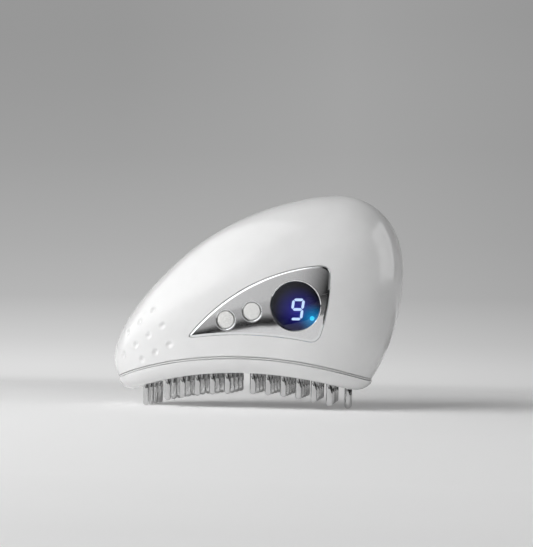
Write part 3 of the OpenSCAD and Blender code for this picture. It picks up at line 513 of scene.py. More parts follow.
def plan(end, side, share=1.0):
    """The outline at the seam taken in by end and side, then shrunk about its middle."""
    f, g = nose_x(0.0) + end, tail_x(0.0) - end
    m = f + (g - f) * WIDEST
    along, across = plan_share(base_angles)
    x, y = m + along * np.where(along < 0, m - f, g - m), (half_w(0.0) - side) * across
    return np.stack([m + (x - m) * share, y * share], -1)


def at_face(path, up=0.0):
    return np.column_stack([path, face_z(path[:, 0], up)])


def at_seam(inset, up):
    """The outline taken in by inset all round, up above the seam."""
    path = plan(inset, inset)
    return np.column_stack([path, seam_z(path[:, 0]) + up])


def base_side(v):
    k = math.sin(v * math.pi / 2) ** (2 / BASE_FULLNESS)
    drawn = 1 - math.cos(v * math.pi / 2) ** (2 / BASE_FULLNESS)
    path = plan(END_TAPER * drawn, SIDE_TAPER * drawn)
    z = (seam_z(path[:, 0]) - SEAL_H / 2) * (1 - k) + face_z(path[:, 0]) * k
    return np.column_stack([path, z])


shares = np.linspace(0, 1, 13)[1:-1]
pocket = (BASE_WALL + 0.4 * END_TAPER, BASE_WALL + 0.4 * SIDE_TAPER)
lip_in = WALL + 0.25
top_round = [at_seam(RIM_ROUND * (1 - math.cos(t)), -SEAL_H / 2 - RIM_ROUND * (1 - math.sin(t)))
             for t in np.linspace(0, math.pi / 2, 5)]
base_loops = [at_face(plan(END_TAPER, SIDE_TAPER, 0.0)[:1])]
base_loops += [at_face(plan(END_TAPER, SIDE_TAPER, k)) for k in shares]
base_loops += [base_side(v) for v in np.linspace(1, 0.035, 16)] + top_round
base_loops += [at_seam(lip_in, -SEAL_H / 2), at_seam(lip_in, LIP_H), at_seam(lip_in + LIP_T, LIP_H)]
base_loops += [at_seam(BASE_WALL + 0.65, -2), at_face(plan(*pocket), FLOOR_T)]
base_loops += [at_face(plan(*pocket, k), FLOOR_T) for k in shares[::-1]]
base_loops += [at_face(plan(*pocket, 0.0)[:1], FLOOR_T)]
base_tray = make_object("base_moulding", *loft(base_loops), white_abs)
report(base_tray)

# %% Holes and screw posts
PIN_PITCH, ROW_PITCH, FIELD_GAP, FIELD_X = 6.35, 11.0, 10.8, -4.25
NOSE_PITCH, TAIL_PITCH = 8.0, 7.0
SIDE_SCREW_IN, TAIL_SCREW_X, TAIL_SCREW_Y = 8.2, 38.0, 11.0
PIN_BORE_R, RECESS_R, TUBE_R, SCREW_R = 1.52, 2.25, 3.1, 1.2
POST_R, POST_TOP, PILOT_R, PILOT_FOOT = 2.55, 24, 0.9, 18
row_x = [FIELD_X - FIELD_GAP / 2 - i * PIN_PITCH for i in range(5)]
row_x += [FIELD_X + FIELD_GAP / 2 + i * PIN_PITCH for i in range(6)]
pin_places = [(x, k * ROW_PITCH) for k in (-1.5, -0.5, 0.5, 1.5) for x in row_x]
pin_places += [(NOSE_ROW_X, k * NOSE_PITCH) for k in (-1.5, -0.5, 0.5, 1.5)]
pin_places += [(TAIL_ROW_X, k * TAIL_PITCH) for k in (-0.5, 0.5)]
screw_places = [(FIELD_X, s * (half_w(0.0) - SIDE_SCREW_IN)) for s in (-1, 1)]
screw_places += [(TAIL_SCREW_X, s * TAIL_SCREW_Y) for s in (-1, 1)]


def rods(places, radius, low, high, steps=24):
    """One cutter of upright rods, each from low to high above the concave face."""
    parts = []
    for x, y in places:
        z = float(face_z(x))
        profile = [(0, z + low), (radius, z + low), (radius, z + high), (0, z + high)]
        parts.append(loft(lathe(profile, (x, y, 0), steps=steps)))
    return make_object("cutter", *joined(*parts), None)


cut(base_tray, rods(pin_places, PIN_BORE_R, -5, 9), rods(screw_places, RECESS_R, -5, 9, 40))
tubes = []
for x, y in screw_places:
    z = float(face_z(x))
    top = float(seam_z(x)) + 0.4
    profile = [(RECESS_R, z + 0.06), (TUBE_R, z + 0.6), (TUBE_R, top), (SCREW_R, top),
               (SCREW_R, z + 3), (RECESS_R, z + 3)]
    tubes.append(loft(lathe(profile, (x, y, 0)), ring=True))
for x in (FIELD_X - FIELD_GAP / 2 - 3.5 * PIN_PITCH, FIELD_X + FIELD_GAP / 2 + 3.5 * PIN_PITCH):
    for y in (-ROW_PITCH, ROW_PITCH):
        z = float(face_z(x))
        profile = [(0, z + 1), (POST_R, z + 1), (POST_R, POST_TOP), (PILOT_R, POST_TOP),
                   (PILOT_R, PILOT_FOOT), (0, PILOT_FOOT)]
        tubes.append(loft(lathe(profile, (x, y, 0))))
posts = make_object("posts", *joined(*tubes), white_abs)
merge_into(base_tray, posts)
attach(base_tray, "case")
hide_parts("base_frame")
report(base_tray)

# %% [markdown]
# ## Seam seal
# A pale grey silicone cord lies in the groove between the two mouldings, a little behind
# their edges. It keeps water out, and it shows as a pale line between two dark ones. It is
# a loft of one small section round the seam. Silicone is soft and slightly dull, so it has
# a broad sheen with no sharp mirror image.

# %% Seal
silicone, tree, shader = start_material("silicone_grey_moulded")
rough(tree, shader, 0.42, 0.5, 0.6)
ripple(tree, shader, 0.004, 0.4)
shader.inputs["Base Color"].default_value = linear("#e4e4e4")
shader.inputs["IOR"].default_value = 1.41
SEAL_BACK, SEAL_DROP = 0.22, 0.03
seal_turn = np.linspace(-math.pi / 2, math.pi / 2, 9)
seal_half = SEAL_H / 2 - 0.26
section = [(SEAL_BACK + 0.15 * (1 - math.cos(t)), seal_half * math.sin(t) - SEAL_DROP) for t in seal_turn]
section += [(2.1, seal_half - SEAL_DROP), (2.1, -seal_half - SEAL_DROP)]
seal = make_object("seam_seal_ring", *loft([at_seam(d, z) for d, z in section], ring=True), silicone)
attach(seal, "case")
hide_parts("seam_seal")
report(seal)

# %% [markdown]
# ## Massage pins
# Fifty steel pins go through the base. Each is a straight rod with a round tip and a
# broader head that rests on the plate inside. One pin repeated on a list of places is what
# Geometry Nodes are for: the tree lifts the upper half of a sphere to make a rod with a
# round tip, sets one on each point, sets a head at the height kept on that point, and
# realises the copies so that the result is a plain mesh.

# %% Polished steel
steel, tree, shader = start_material("stainless_steel_polished")
smear = (0.5, 2.0, (1, 1, 0.15))
rough(tree, shader, 0.03, 0.06, *smear)
ripple(tree, shader, 0.0006, *smear)
shader.inputs["Base Color"].default_value = linear("#cecece")
shader.inputs["Metallic"].default_value = 1.0
print(steel.name, "ready")

# %% Pin tree
PIN_R, PIN_HEAD_R, PIN_HEAD_T, PLATE_TOP = 1.4, 1.9, 1.0, 3.6
TIP_SIDES, TIP_RINGS = 32, 17


def pin_tree():
    """Geometry Nodes tree: points with a seat attribute become pins with heads."""
    tree = bpy.data.node_groups.new("pins_on_points", "GeometryNodeTree")
    tree.interface.new_socket("Geometry", in_out="INPUT", socket_type="NodeSocketGeometry")
    for name in ("Pin radius", "Pin length", "Head radius", "Head thickness"):
        tree.interface.new_socket(name, in_out="INPUT", socket_type="NodeSocketFloat")
    tree.interface.new_socket("Metal", in_out="INPUT", socket_type="NodeSocketMaterial")
    tree.interface.new_socket("Geometry", in_out="OUTPUT", socket_type="NodeSocketGeometry")
    given = add(tree, "NodeGroupInput").outputs
    ball = add(tree, "GeometryNodeMeshUVSphere", i0=TIP_SIDES, i1=TIP_RINGS, i2=given["Pin radius"])
    place = add(tree, "ShaderNodeSeparateXYZ", i0=add(tree, "GeometryNodeInputPosition").outputs[0])
    upper = add(tree, "FunctionNodeCompare", {"operation": "GREATER_THAN"}, i0=place.outputs["Z"])
    rod_lift = add(tree, "ShaderNodeCombineXYZ", Z=given["Pin length"])
    rod = add(tree, "GeometryNodeSetPosition", Geometry=ball.outputs["Mesh"], Selection=upper.outputs[0],
              Offset=rod_lift.outputs[0])
    head = add(tree, "GeometryNodeMeshCylinder", Vertices=TIP_SIDES, Radius=given["Head radius"],
               Depth=given["Head thickness"])
    seat = add(tree, "GeometryNodeInputNamedAttribute", {"data_type": "FLOAT"}, Name="seat")
    head_lift = add(tree, "ShaderNodeCombineXYZ", Z=seat.outputs[0])
    seats = add(tree, "GeometryNodeSetPosition", Geometry=given["Geometry"], Offset=head_lift.outputs[0])
    rods = add(tree, "GeometryNodeInstanceOnPoints", Points=given["Geometry"], Instance=rod.outputs[0])
    heads = add(tree, "GeometryNodeInstanceOnPoints", Points=seats.outputs[0], Instance=head.outputs["Mesh"])
    both = add(tree, "GeometryNodeJoinGeometry")
    for copies in (rods, heads):
        tree.links.new(copies.outputs[0], both.inputs[0])
    real = add(tree, "GeometryNodeRealizeInstances", Geometry=both.outputs[0])
    metal = add(tree, "GeometryNodeSetMaterial", Geometry=real.outputs[0], Material=given["Metal"])
    add(tree, "NodeGroupOutput", Geometry=metal.outputs[0])
    return tree


def made_by(tree, obj, **values):
    """Runs a Geometry Nodes tree on obj with its named inputs, and keeps the plain mesh."""
    change = obj.modifiers.new(tree.name, "NODES")
    change.node_group = tree
    for item in tree.interface.items_tree:
        if item.in_out == "INPUT" and item.name.replace(" ", "_") in values:
            change[item.identifier] = values[item.name.replace(" ", "_")]
    view = bpy.context.evaluated_depsgraph_get()
    mesh = bpy.data.meshes.new_from_object(obj.evaluated_get(view))
    obj.modifiers.clear()
    obj.data = mesh
    finish_mesh(obj, 50)
    return obj


pin_points = [(x, y, float(face_z(x)) - PIN_LEN + PIN_R) for x, y in pin_places]
pins = make_object("massage_pins", pin_points, [], None)
seats = pins.data.attributes.new("seat", "FLOAT", "POINT")
for (x, y, z), item in zip(pin_points, seats.data):
    lean = PIN_HEAD_R * abs(x - face_x) / FACE_R
    item.value = (float(face_z(x, PLATE_TOP)) + lean + 0.05 + PIN_HEAD_T / 2 - z) * MM
round_radius = PIN_R / math.cos(math.pi / 2 / TIP_RINGS)
made_by(pin_tree(), pins, Pin_radius=round_radius * MM, Pin_length=(PIN_LEN + PLATE_TOP - PIN_R + 0.4) * MM,
        Head_radius=PIN_HEAD_R * MM, Head_thickness=PIN_HEAD_T * MM, Metal=steel)
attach(pins, "case")
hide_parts("pin_row_front", "pin_row_inner_front", "pin_row_inner_back", "pin_row_back",
            "nose_pins", "tail_pins")
report(pins)

# %% [markdown]
# ## Panel plate and its rim
# The panel is one electroplated plastic plate that follows the shell's curve and stands
# 0.15 mm proud of it. Its edge is a brighter band, 1 mm wide, that rolls down outwards to
# 0.35 mm below the shell's surface. The band is a loft of one section round the outline,
# which keeps its width everywhere. The face is a fine grid laid on the curved side and cut
# to the outline by a solid prism, because a plate with three round holes is easier to cut
# than to draw.

# %% Satin and bright chrome
satin, tree, shader = start_material("chrome_satin_electroplated")
mottle(tree, shader, "#dcdcde", "#f0f0f0", 0.22)
rough(tree, shader, 0.05, 0.08, 0.4)
ripple(tree, shader, 0.0006, 0.22)
shader.inputs["Metallic"].default_value = 1.0

bright, tree, shader = start_material("chrome_bright_electroplated")
rough(tree, shader, 0.04, 0.09, 0.8)
shader.inputs["Base Color"].default_value = linear("#eeeff0")
shader.inputs["Metallic"].default_value = 1.0
print(satin.name, "and", bright.name, "ready")

# %% Rim
BORDER, DISH, EDGE_DROP, PLATE_T = 1.0, -0.15, 0.5, 1.2
DISPLAY_AT, POWER_AT, LEVEL_AT = (20.0, 42.1), (-8.5, 36.3), (2.3, 39.8)
LENS_R, RING_W, BUTTON_R, BUTTON_GAP = 9.9, 0.78, 3.4, 0.35
BOARD_Y = -20.724
roll = [(-BORDER + BORDER * k, DISH + EDGE_DROP * (0.55 * k + 0.45 * k * k)) for k in np.linspace(0, 1, 9)]
rim_section = [(-BORDER, PLATE_T)] + roll + [(0, PLATE_T)]
rim_obj = make_object("panel_rim", *loft([on_panel(*p) for p in rim_section], ring=True), bright)
print(rim_obj.name, "has", len(rim_section), "points in its section")


# %% Face
def surface_disc(centre, profile, steps=64):
    """Loops round a centre on the panel side. Each profile pair is a radius and a depth below
    the body's surface."""
    turn = np.linspace(0, 2 * math.pi, steps, endpoint=False)
    loops = []
    for r, depth in profile:
        x, z = centre[0] + r * np.cos(turn), centre[1] + r * np.sin(turn)
        if r < 1e-6:
            x, z = x[:1], z[:1]
        loops.append(np.stack([x, -side_y(x, z) + depth, z], -1))
    return loops


def surface_grid(step, front, back, margin=1.0):
    """A closed slab between two depths below the surface, over the panel's box."""
    x = np.arange(PANEL_X - margin, PANEL_X + PANEL_LEN + margin, step)
    z = np.arange(PANEL_Z - margin, PANEL_Z + PANEL_RISE + margin, step)
    xs, zs = np.meshgrid(x, z)
    y = -side_y(xs, zs)
    n, m = xs.shape
    points = np.concatenate([np.stack([xs, y + depth, zs], -1).reshape(-1, 3) for depth in (front, back)])
    faces = []
    for j in range(n - 1):
        for i in range(m - 1):
            a = j * m + i
            quad = [a, a + 1, a + m + 1, a + m]
            faces += [quad, [k + n * m for k in quad[::-1]]]
    edge = (list(range(m)) + [j * m + m - 1 for j in range(1, n)]
            + [(n - 1) * m + i for i in range(m - 2, -1, -1)] + [j * m for j in range(n - 2, 0, -1)])
    for a, b in zip(edge, edge[1:] + edge[:1]):
        faces.append([b, a, a + n * m, b + n * m])
    return points, faces


face_obj = make_object("panel_face", *surface_grid(0.55, DISH, PLATE_T), satin)
keep = face_obj.modifiers.new("outline", "BOOLEAN")
outline_cutter = prism(offset_path(-BORDER + 0.02), *PANEL_SIDE)
keep.object, keep.operation, keep.solver = outline_cutter, "INTERSECT", "EXACT"
ring_r = BUTTON_R + BUTTON_GAP + RING_W
front_y, back_y = PANEL_SIDE
holes = []
for centre, r in ((DISPLAY_AT, LENS_R + 0.05 + 0.42), (POWER_AT, ring_r), (LEVEL_AT, ring_r)):
    profile = [(0, front_y), (r, front_y), (r, back_y), (0, back_y)]
    hole = loft(lathe(profile, (centre[0], 0, centre[1]), "y", 96))
    holes.append(make_object("cutter", *hole, None))
cut(face_obj, *holes)
bpy.data.objects.remove(outline_cutter)
print(face_obj.name, "cut to its outline, with", len(holes), "round holes")

# %% Bosses behind the face
BOSS_R, BOSS_HOLE_R, BOSS_END = 1.75, 0.9, -24
posts = []
for sx, sz in ((0.145, 0.17), (0.575, 0.185), (0.915, 0.83)):
    x, z = PANEL_X + sx * PANEL_LEN, PANEL_Z + sz * PANEL_RISE
    y = -float(side_y(x, z))
    top = y + PLATE_T - 0.2
    profile = [(0, top), (BOSS_R, top), (BOSS_R, BOARD_Y), (BOSS_HOLE_R, BOARD_Y),
               (BOSS_HOLE_R, BOSS_END), (0, BOSS_END)]
    posts.append(loft(lathe(profile, (x, 0, z), "y", 32)))
bosses = make_object("bosses", *joined(*posts), satin)
merge_into(face_obj, bosses)
for piece, slot in ((rim_obj, "bright_chrome"), (face_obj, "satin_chrome")):
    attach(piece, "case")
    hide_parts("panel_bezel")
    report(piece)

# %% [markdown]
# ## Buttons
# Each button is a flat pearl cap in a bright ring. The ring is flush with the plate outside
# and slopes down to the cap inside, in a cone 0.35 mm wide that mirrors another part of
# the room than the plate does. The cap has a flange behind the plate and a stem down to its
# switch, and moves with them. Both are lofts of circles laid on the curved side.

# %% Rings and caps
pearl, tree, shader = start_material("acrylic_pearl_moulded")
flake = add(tree, "ShaderNodeTexVoronoi", {"feature": "F1"},
            Vector=add(tree, "ShaderNodeTexCoord").outputs["Object"], Scale=1 / (0.3 * MM))
spread = add(tree, "ShaderNodeMapRange", i0=flake.outputs["Color"], i1=0.2, i2=0.8, i3=0, i4=1)
glint = add(tree, "ShaderNodeMix", RGBA, i0=spread.outputs[0], i6=linear("#dcdcda"), i7=linear("#f0f0ee"))
tree.links.new(glint.outputs[2], shader.inputs["Base Color"])
shader.inputs["Roughness"].default_value = 0.3
shader.inputs["Coat Weight"].default_value = 0.2
SWITCH_TIP = BOARD_Y - 4.5

for name, centre, body in (("power", POWER_AT, "power_key"), ("level", LEVEL_AT, "level_key")):
    r_in = BUTTON_R + BUTTON_GAP
    ring = [(r_in, PLATE_T), (r_in, 0.14), (r_in + 0.05, 0.06), (r_in + 0.4, DISH + 0.01),
            (ring_r - 0.04, DISH), (ring_r, DISH + 0.03), (ring_r, PLATE_T)]
    ring_loft = loft(surface_disc(centre, ring), ring=True)
    ring_obj = make_object(name + "_ring_countersunk", *ring_loft, bright, 25)
    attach(ring_obj, "case")
    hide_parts(name + "_button_ring")
    cap = [(0, -0.1), (1.2, -0.1), (2.4, -0.1), (BUTTON_R - 0.3, -0.08), (BUTTON_R - 0.1, -0.02),
           (BUTTON_R, 0.12), (BUTTON_R, 1.3)]
    cap_loops = surface_disc(centre, cap)
    back = -float(side_y(*centre)) + PLATE_T + 0.15
    flange = [(BUTTON_R, back + 0.1), (r_in + 0.6, back + 0.2), (r_in + 0.6, back + 1), (1.5, back + 1),
              (1.5, SWITCH_TIP), (0, SWITCH_TIP)]
    cap_loops += lathe(flange, (centre[0], 0, centre[1]), "y", 64)
    cap_obj = make_object(name + "_cap", *loft(cap_loops), pearl)
    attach(cap_obj, body)
    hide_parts(name + "_button")
    report(cap_obj)

# %% [markdown]
# ## Display
# The display is a smoked acrylic lens over a black light guide. Bars cut in the guide are
# lit from behind and make a plain nine, and a cyan lamp shines beside it. The guide has a
# painted glow, indigo round the bars and cyan round the lamp, in place of light that leaks
# sideways. The lens is a real tinted refracting piece, so it is dark when seen from any
# side, and the bars shine through it.
# Acrylic has an IOR of 1.49. It is 1.44 here, only to weaken the mirror image on the lens.

# %% Display lens and its ring
smoked, tree, shader = start_material("acrylic_smoked_polished")
rough(tree, shader, 0.015, 0.03, 4.0)
shader.inputs["Base Color"].default_value = linear("#a9adc4")
shader.inputs["IOR"].default_value = 1.44
shader.inputs["Transmission Weight"].default_value = 1.0
LENS_DEPTH, LENS_T = 0.12, 1.2
lens_section = [(0, LENS_DEPTH)] + [(r, LENS_DEPTH) for r in (2, 4, 6, 8, 9.2, LENS_R - 0.25)]
lens_section += [(LENS_R - 0.07, LENS_DEPTH + 0.07), (LENS_R, LENS_DEPTH + 0.25)]
lens_foot = LENS_DEPTH + LENS_T
lens_back = [(r, lens_foot) for r in (LENS_R, 8, 6, 4, 2, 0)]
lens_loft = loft(surface_disc(DISPLAY_AT, lens_section + lens_back, 96))
lens_obj = make_object("display_window", *lens_loft, smoked)
rim_in, rim_out = LENS_R + 0.05, LENS_R + 0.05 + 0.4
lens_ring = [(rim_in, 2.0), (rim_in, 0.1), (rim_in + 0.04, 0.03), (rim_out - 0.05, DISH + 0.02),
             (rim_out, DISH + 0.04), (rim_out, 2.0)]
lens_rim = make_object("display_ring", *loft(surface_disc(DISPLAY_AT, lens_ring, 96), ring=True), bright, 25)
print(lens_obj.name, "and", lens_rim.name, "made, the lens", 2 * LENS_R, "mm across")

# %% Light guide and lit bars
DIGIT_H, DIGIT_W, BAR_W, BAR_GAP, SLANT = 7.7, 4.0, 1.05, 0.3, 0.14
DIGIT_AT = (DISPLAY_AT[0] + 0.6, DISPLAY_AT[1] - 1.3)
LED_AT, LED_R = (DISPLAY_AT[0] + 6.5, DISPLAY_AT[1] - 4.8), 0.9
GUIDE_DEPTH, GUIDE_R = lens_foot + 0.35, 9.5
LIT_DEPTH, LIT_T = GUIDE_DEPTH - 0.12, 0.1
BARS = [((-1, 2), (1, 2)), ((1, 2), (1, 0)), ((1, 0), (1, -2)),
        ((-1, -2), (1, -2)), ((-1, 2), (-1, 0)), ((-1, 0), (1, 0))]


def painted_glow_falloff(tree, centre, radius, power):
    """The mask of a painted glow: 1 at a place on the panel, falling to 0 at radius."""
    place = object_xyz(tree)
    flat = add(tree, "ShaderNodeCombineXYZ", X=place["X"], Z=place["Z"])
    away = add(tree, "ShaderNodeVectorMath", {"operation": "DISTANCE"}, i0=flat.outputs[0],
               i1=(centre[0] * MM, 0, centre[1] * MM))
    near = add(tree, "ShaderNodeMapRange", i0=away.outputs["Value"], i1=0.0, i2=radius * MM, i3=1.0, i4=0.0)
    return add(tree, "ShaderNodeMath", {"operation": "POWER"}, i0=near.outputs[0], i1=power).outputs[0]


guide_black, tree, shader = start_material("polycarbonate_black_moulded")
# Painted glow: the guide's emission is indigo round the bars and cyan round the lamp, fading outwards.
painted_glow_round_digit, painted_glow_round_lamp = painted_glow_falloff(tree, DIGIT_AT, 9.5, 1.3), painted_glow_falloff(tree, LED_AT, 6.0, 1.3)
glow = add(tree, "ShaderNodeMix", RGBA, i0=painted_glow_round_digit, i6=linear("#04050c"), i7=linear("#2a20b4"))
glow = add(tree, "ShaderNodeMix", RGBA, i0=painted_glow_round_lamp, i6=glow.outputs[2], i7=linear("#20c8ff"))
tree.links.new(glow.outputs[2], shader.inputs["Emission Color"])
rough(tree, shader, 0.4, 0.5, 0.5)
shader.inputs["Emission Strength"].default_value = 1.0
shader.inputs["Base Color"].default_value = linear("#06070a")
shader.inputs["Specular IOR Level"].default_value = 0.15


def lit(name, colour, strength):
    """An evenly lit diffuser. Its colour is the same all over, so it is set on the shader."""
    material, tree, shader = start_material(name)
    shader.inputs["Emission Color"].default_value = linear(colour)
    shader.inputs["Emission Strength"].default_value = strength
    shader.inputs["Base Color"].default_value = linear("#202020")
    return material


def bar_shape(start, end, grow):
    """Six corners of a bar in the display's plane, widened by grow."""
    a, b = (np.array([p[0] * DIGIT_W / 2, p[1] * DIGIT_H / 4]) for p in (start, end))
    run = (b - a) / np.linalg.norm(b - a)
    side = np.array([-run[1], run[0]]) * (BAR_W / 2 + grow)
    a, b = a + run * (BAR_GAP / 2 - grow), b - run * (BAR_GAP / 2 - grow)
    nose = run * (BAR_W / 2 + grow)
    corners = np.array([a, a + nose + side, b - nose + side, b, b - nose - side, a + nose - side])
    return corners @ np.array([[1, 0], [SLANT, 1]]) + DIGIT_AT


def plates(shapes, front, thickness):
    parts = []
    for shape in shapes:
        x, z = shape[:, 0], shape[:, 1]
        loops = [np.stack([x, -side_y(x, z) + depth, z], -1) for depth in (front, front + thickness)]
        points, faces = loft(loops)
        n = len(shape)
        parts.append((points, faces + [list(range(n)), list(range(n, 2 * n))[::-1]]))
    return joined(*parts)


turn = np.linspace(0, 2 * math.pi, 32, endpoint=False)
bar_plates = plates([bar_shape(a, b, 0) for a, b in BARS], LIT_DEPTH, LIT_T)
bars_obj = make_object("lit_bars", *bar_plates, lit("diffuser_lit_ice_blue", "#dcf2ff", 2.2), 20)
led_disc = np.stack([LED_AT[0] + LED_R * np.cos(turn), LED_AT[1] + LED_R * np.sin(turn)], -1)
led_plate = plates([led_disc], LIT_DEPTH, LIT_T)
led_obj = make_object("status_lamp", *led_plate, lit("diffuser_lit_cyan", "#40e0ff", 2.4), 20)
guide_section = [(r, GUIDE_DEPTH) for r in (0, 2, 4, 6, 8, 9.2, GUIDE_R)] + [(GUIDE_R, 3.5)]
guide_loops = surface_disc(DISPLAY_AT, guide_section, 64)
guide_loops += lathe([(GUIDE_R, BOARD_Y), (0, BOARD_Y)], (DISPLAY_AT[0], 0, DISPLAY_AT[1]), "y", 64)
guide_obj = make_object("display_light_guide", *loft(guide_loops), guide_black)
for piece, node, slot in (
        (lens_obj, "display_lens", "smoked_lens"), (lens_rim, "display_rim", "bright_chrome"),
        (guide_obj, "display_module", "black_plastic"), (bars_obj, "digit_segments", "lit_digit"),
        (led_obj, "status_led", "lit_cyan")):
    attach(piece, "case")
    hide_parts(node)
    report(piece)

# %% [markdown]
# ## Pieces inside
# The other pieces keep their CAD meshes, whose shapes are right, and get materials. Each
# material is named for the real one and says how it was made: solder mask over glass-fibre
# laminate, drawn steel, moulded nylon. One function makes them from a colour, a second
# colour that mottles it, a roughness, a grain size in millimetres and a bump depth.

# %% Materials by finish
FINISHES = {
    "black_plastic": ("polyamide_black_moulded", "#141518", "#1c1d21", 0.45, 0.5, 0.006, 0.0),
    "board_green": ("laminate_solder_mask_green", "#12402a", "#1b5a3a", 0.28, 1.6, 0.003, 0.0),
    "screw_steel": ("steel_zinc_plated", "#c2c4c6", "#d3d2cc", 0.28, 0.3, 0.002, 1.0),
    "pin_steel": ("steel_shaft_ground", "#cfcfce", "#dadad8", 0.2, 0.2, 0.001, 1.0),
    "motor_steel": ("steel_deep_drawn", "#b4b6ba", "#c4c6c8", 0.3, 0.8, 0.002, 1.0),
    "plate_aluminium": ("aluminium_rolled_stamped", "#c4c6c8", "#d2d3d4", 0.36, 0.6, 0.003, 1.0),
    "heater_amber": ("polyimide_film_amber", "#a4581a", "#b9701f", 0.25, 1.2, 0.002, 0.0),
    "bead_brown": ("epoxy_dipped_brown", "#3c2014", "#4c2a18", 0.2, 0.6, 0.003, 0.0),
    "chassis_plastic": ("abs_dark_grey_moulded", "#2e3136", "#373a40", 0.5, 0.4, 0.008, 0.0),
    "damper_rubber": ("rubber_black_moulded", "#191919", "#202020", 0.7, 0.3, 0.008, 0.0),
    "weight_brass": ("brass_machined", "#b4934a", "#c6a55c", 0.26, 0.25, 0.002, 1.0),
    "cell_blue": ("film_blue_shrunk", "#2c5ea8", "#3668b2", 0.3, 3.0, 0.01, 0.0),
    "coil_grey": ("ferrite_grey_moulded", "#3c3e42", "#46484c", 0.6, 0.3, 0.006, 0.0),
    "connector_cream": ("nylon_cream_moulded", "#e2dcc6", "#eae5d2", 0.42, 0.5, 0.004, 0.0),
    "lead_red": ("silicone_red_extruded", "#a82420", "#b83028", 0.45, 0.5, 0.004, 0.0),
    "lead_black": ("silicone_black_extruded", "#18181a", "#222224", 0.45, 0.5, 0.004, 0.0),
    "lead_yellow": ("silicone_yellow_extruded", "#c8962a", "#d6a63a", 0.45, 0.5, 0.004, 0.0),
    "ribbon_film": ("polyester_ribbon_film", "#cfc29a", "#dbd0ac", 0.3, 1.0, 0.002, 0.0),
    "gloss_white": ("abs_white_inner", "#eeeeee", "#ebebeb", 0.14, 3.0, 0.003, 0.0),
    "bright_chrome": ("steel_bright_formed", "#d8dadc", "#e4e5e6", 0.14, 0.5, 0.001, 1.0)}


def finish_material(name, low, high, roughness, size, depth, metallic):
    material, tree, shader = start_material(name)
    mottle(tree, shader, low, high, size, 3.0)
    rough(tree, shader, roughness * 0.85, roughness * 1.15, size, 3.0)
    ripple(tree, shader, depth, size, 3.0)
    shader.inputs["Metallic"].default_value = metallic
    return material


made, replaced = {}, {"upper_shell", "base_frame", "seam_seal", "pin_row_front", "pin_row_inner_front",
                      "pin_row_inner_back", "pin_row_back", "nose_pins", "tail_pins", "panel_bezel",
                      "power_button", "level_button", "power_button_ring", "level_button_ring",
                      "display_lens", "display_rim", "display_module", "digit_segments", "status_led"}
for name, obj in nodes.items():
    if name in replaced:
        continue
    slot = obj.material_slots[0].material.name.split(".")[0]
    finish = slot if slot in FINISHES else "screw_steel"
    if finish not in made:
        made[finish] = finish_material(*FINISHES[finish])
    for place in obj.material_slots:
        place.material = made[finish]
    print(name, slot, "->", made[finish].name)

# %% [markdown]
# ## Studio
# The massager stands on a pale floor that sweeps up into a backdrop, as in a product
# studio. The light is set to match one photograph, so not all of it is physical.
# A key lamp at the upper left front and a weak fill low at the right light the surfaces,
# and are hidden from reflections. Two windows light no matt surface and are seen in
# mirrors. The world is a plain grey to matt surfaces, and a ramp from pale to dark to
# mirrors. Polished metal also mirrors three dark sheets, which stand for the room's unlit
# front and right. The floor gives off a little light of its own, which lightens it.

# %% Ramps
def colour_ramp(tree, factor, stops):
    """A colour ramp through (share, hex) stops."""
    node = add(tree, "ShaderNodeValToRGB", i0=factor)
    elements = node.color_ramp.elements
    elements[0].color, elements[1].color = linear(stops[0][1]), linear(stops[-1][1])
    for at, colour in stops[1:-1]:
        elements.new(at).color = linear(colour)
    return node.outputs[0]


def gradient(tree, axis, stops):
    """A colour ramp along an axis of the Object coordinates. Stops are (mm, hex)."""
    low, high = stops[0][0], stops[-1][0]
    share = add(tree, "ShaderNodeMapRange", i0=object_xyz(tree)[axis], i1=low * MM, i2=high * MM)
    return colour_ramp(tree, share.outputs[0], [((at - low) / (high - low), colour) for at, colour in stops])


print("ramp helpers ready")

# %% Shape of the floor and backdrop
FLOOR_NEAR, FLOOR_FAR, SWEEP_R, WALL_TOP, STAGE_HALF = -1500.0, 330.0, 260.0, 1500.0, 1600.0
sweep = [(FLOOR_NEAR, 0), (-600, 0), (-200, 0), (0, 0), (150, 0), (FLOOR_FAR, 0)]
sweep += [(FLOOR_FAR + SWEEP_R * math.sin(t), SWEEP_R * (1 - math.cos(t)))
          for t in np.linspace(0.1, math.pi / 2, 14)]
sweep += [(FLOOR_FAR + SWEEP_R, WALL_TOP)]
stage_points = [(x, y, z - 0.02) for x in (-STAGE_HALF, STAGE_HALF) for y, z in sweep]
count = len(sweep)
stage_faces = [(k, k + count, k + count + 1, k + 1) for k in range(count - 1)]

print("the backdrop has", len(stage_faces), "faces")

# %% Paper of the floor and backdrop
# To the eye and in mirrors the wall has its full brightness, but it lights matt surfaces less
FLOOR_LIFT, WALL_LIGHT = 0.09, 0.3
WALL_FROM, WALL_FULL = 120, 420
paper, tree = empty_material("paper_backdrop_matt")
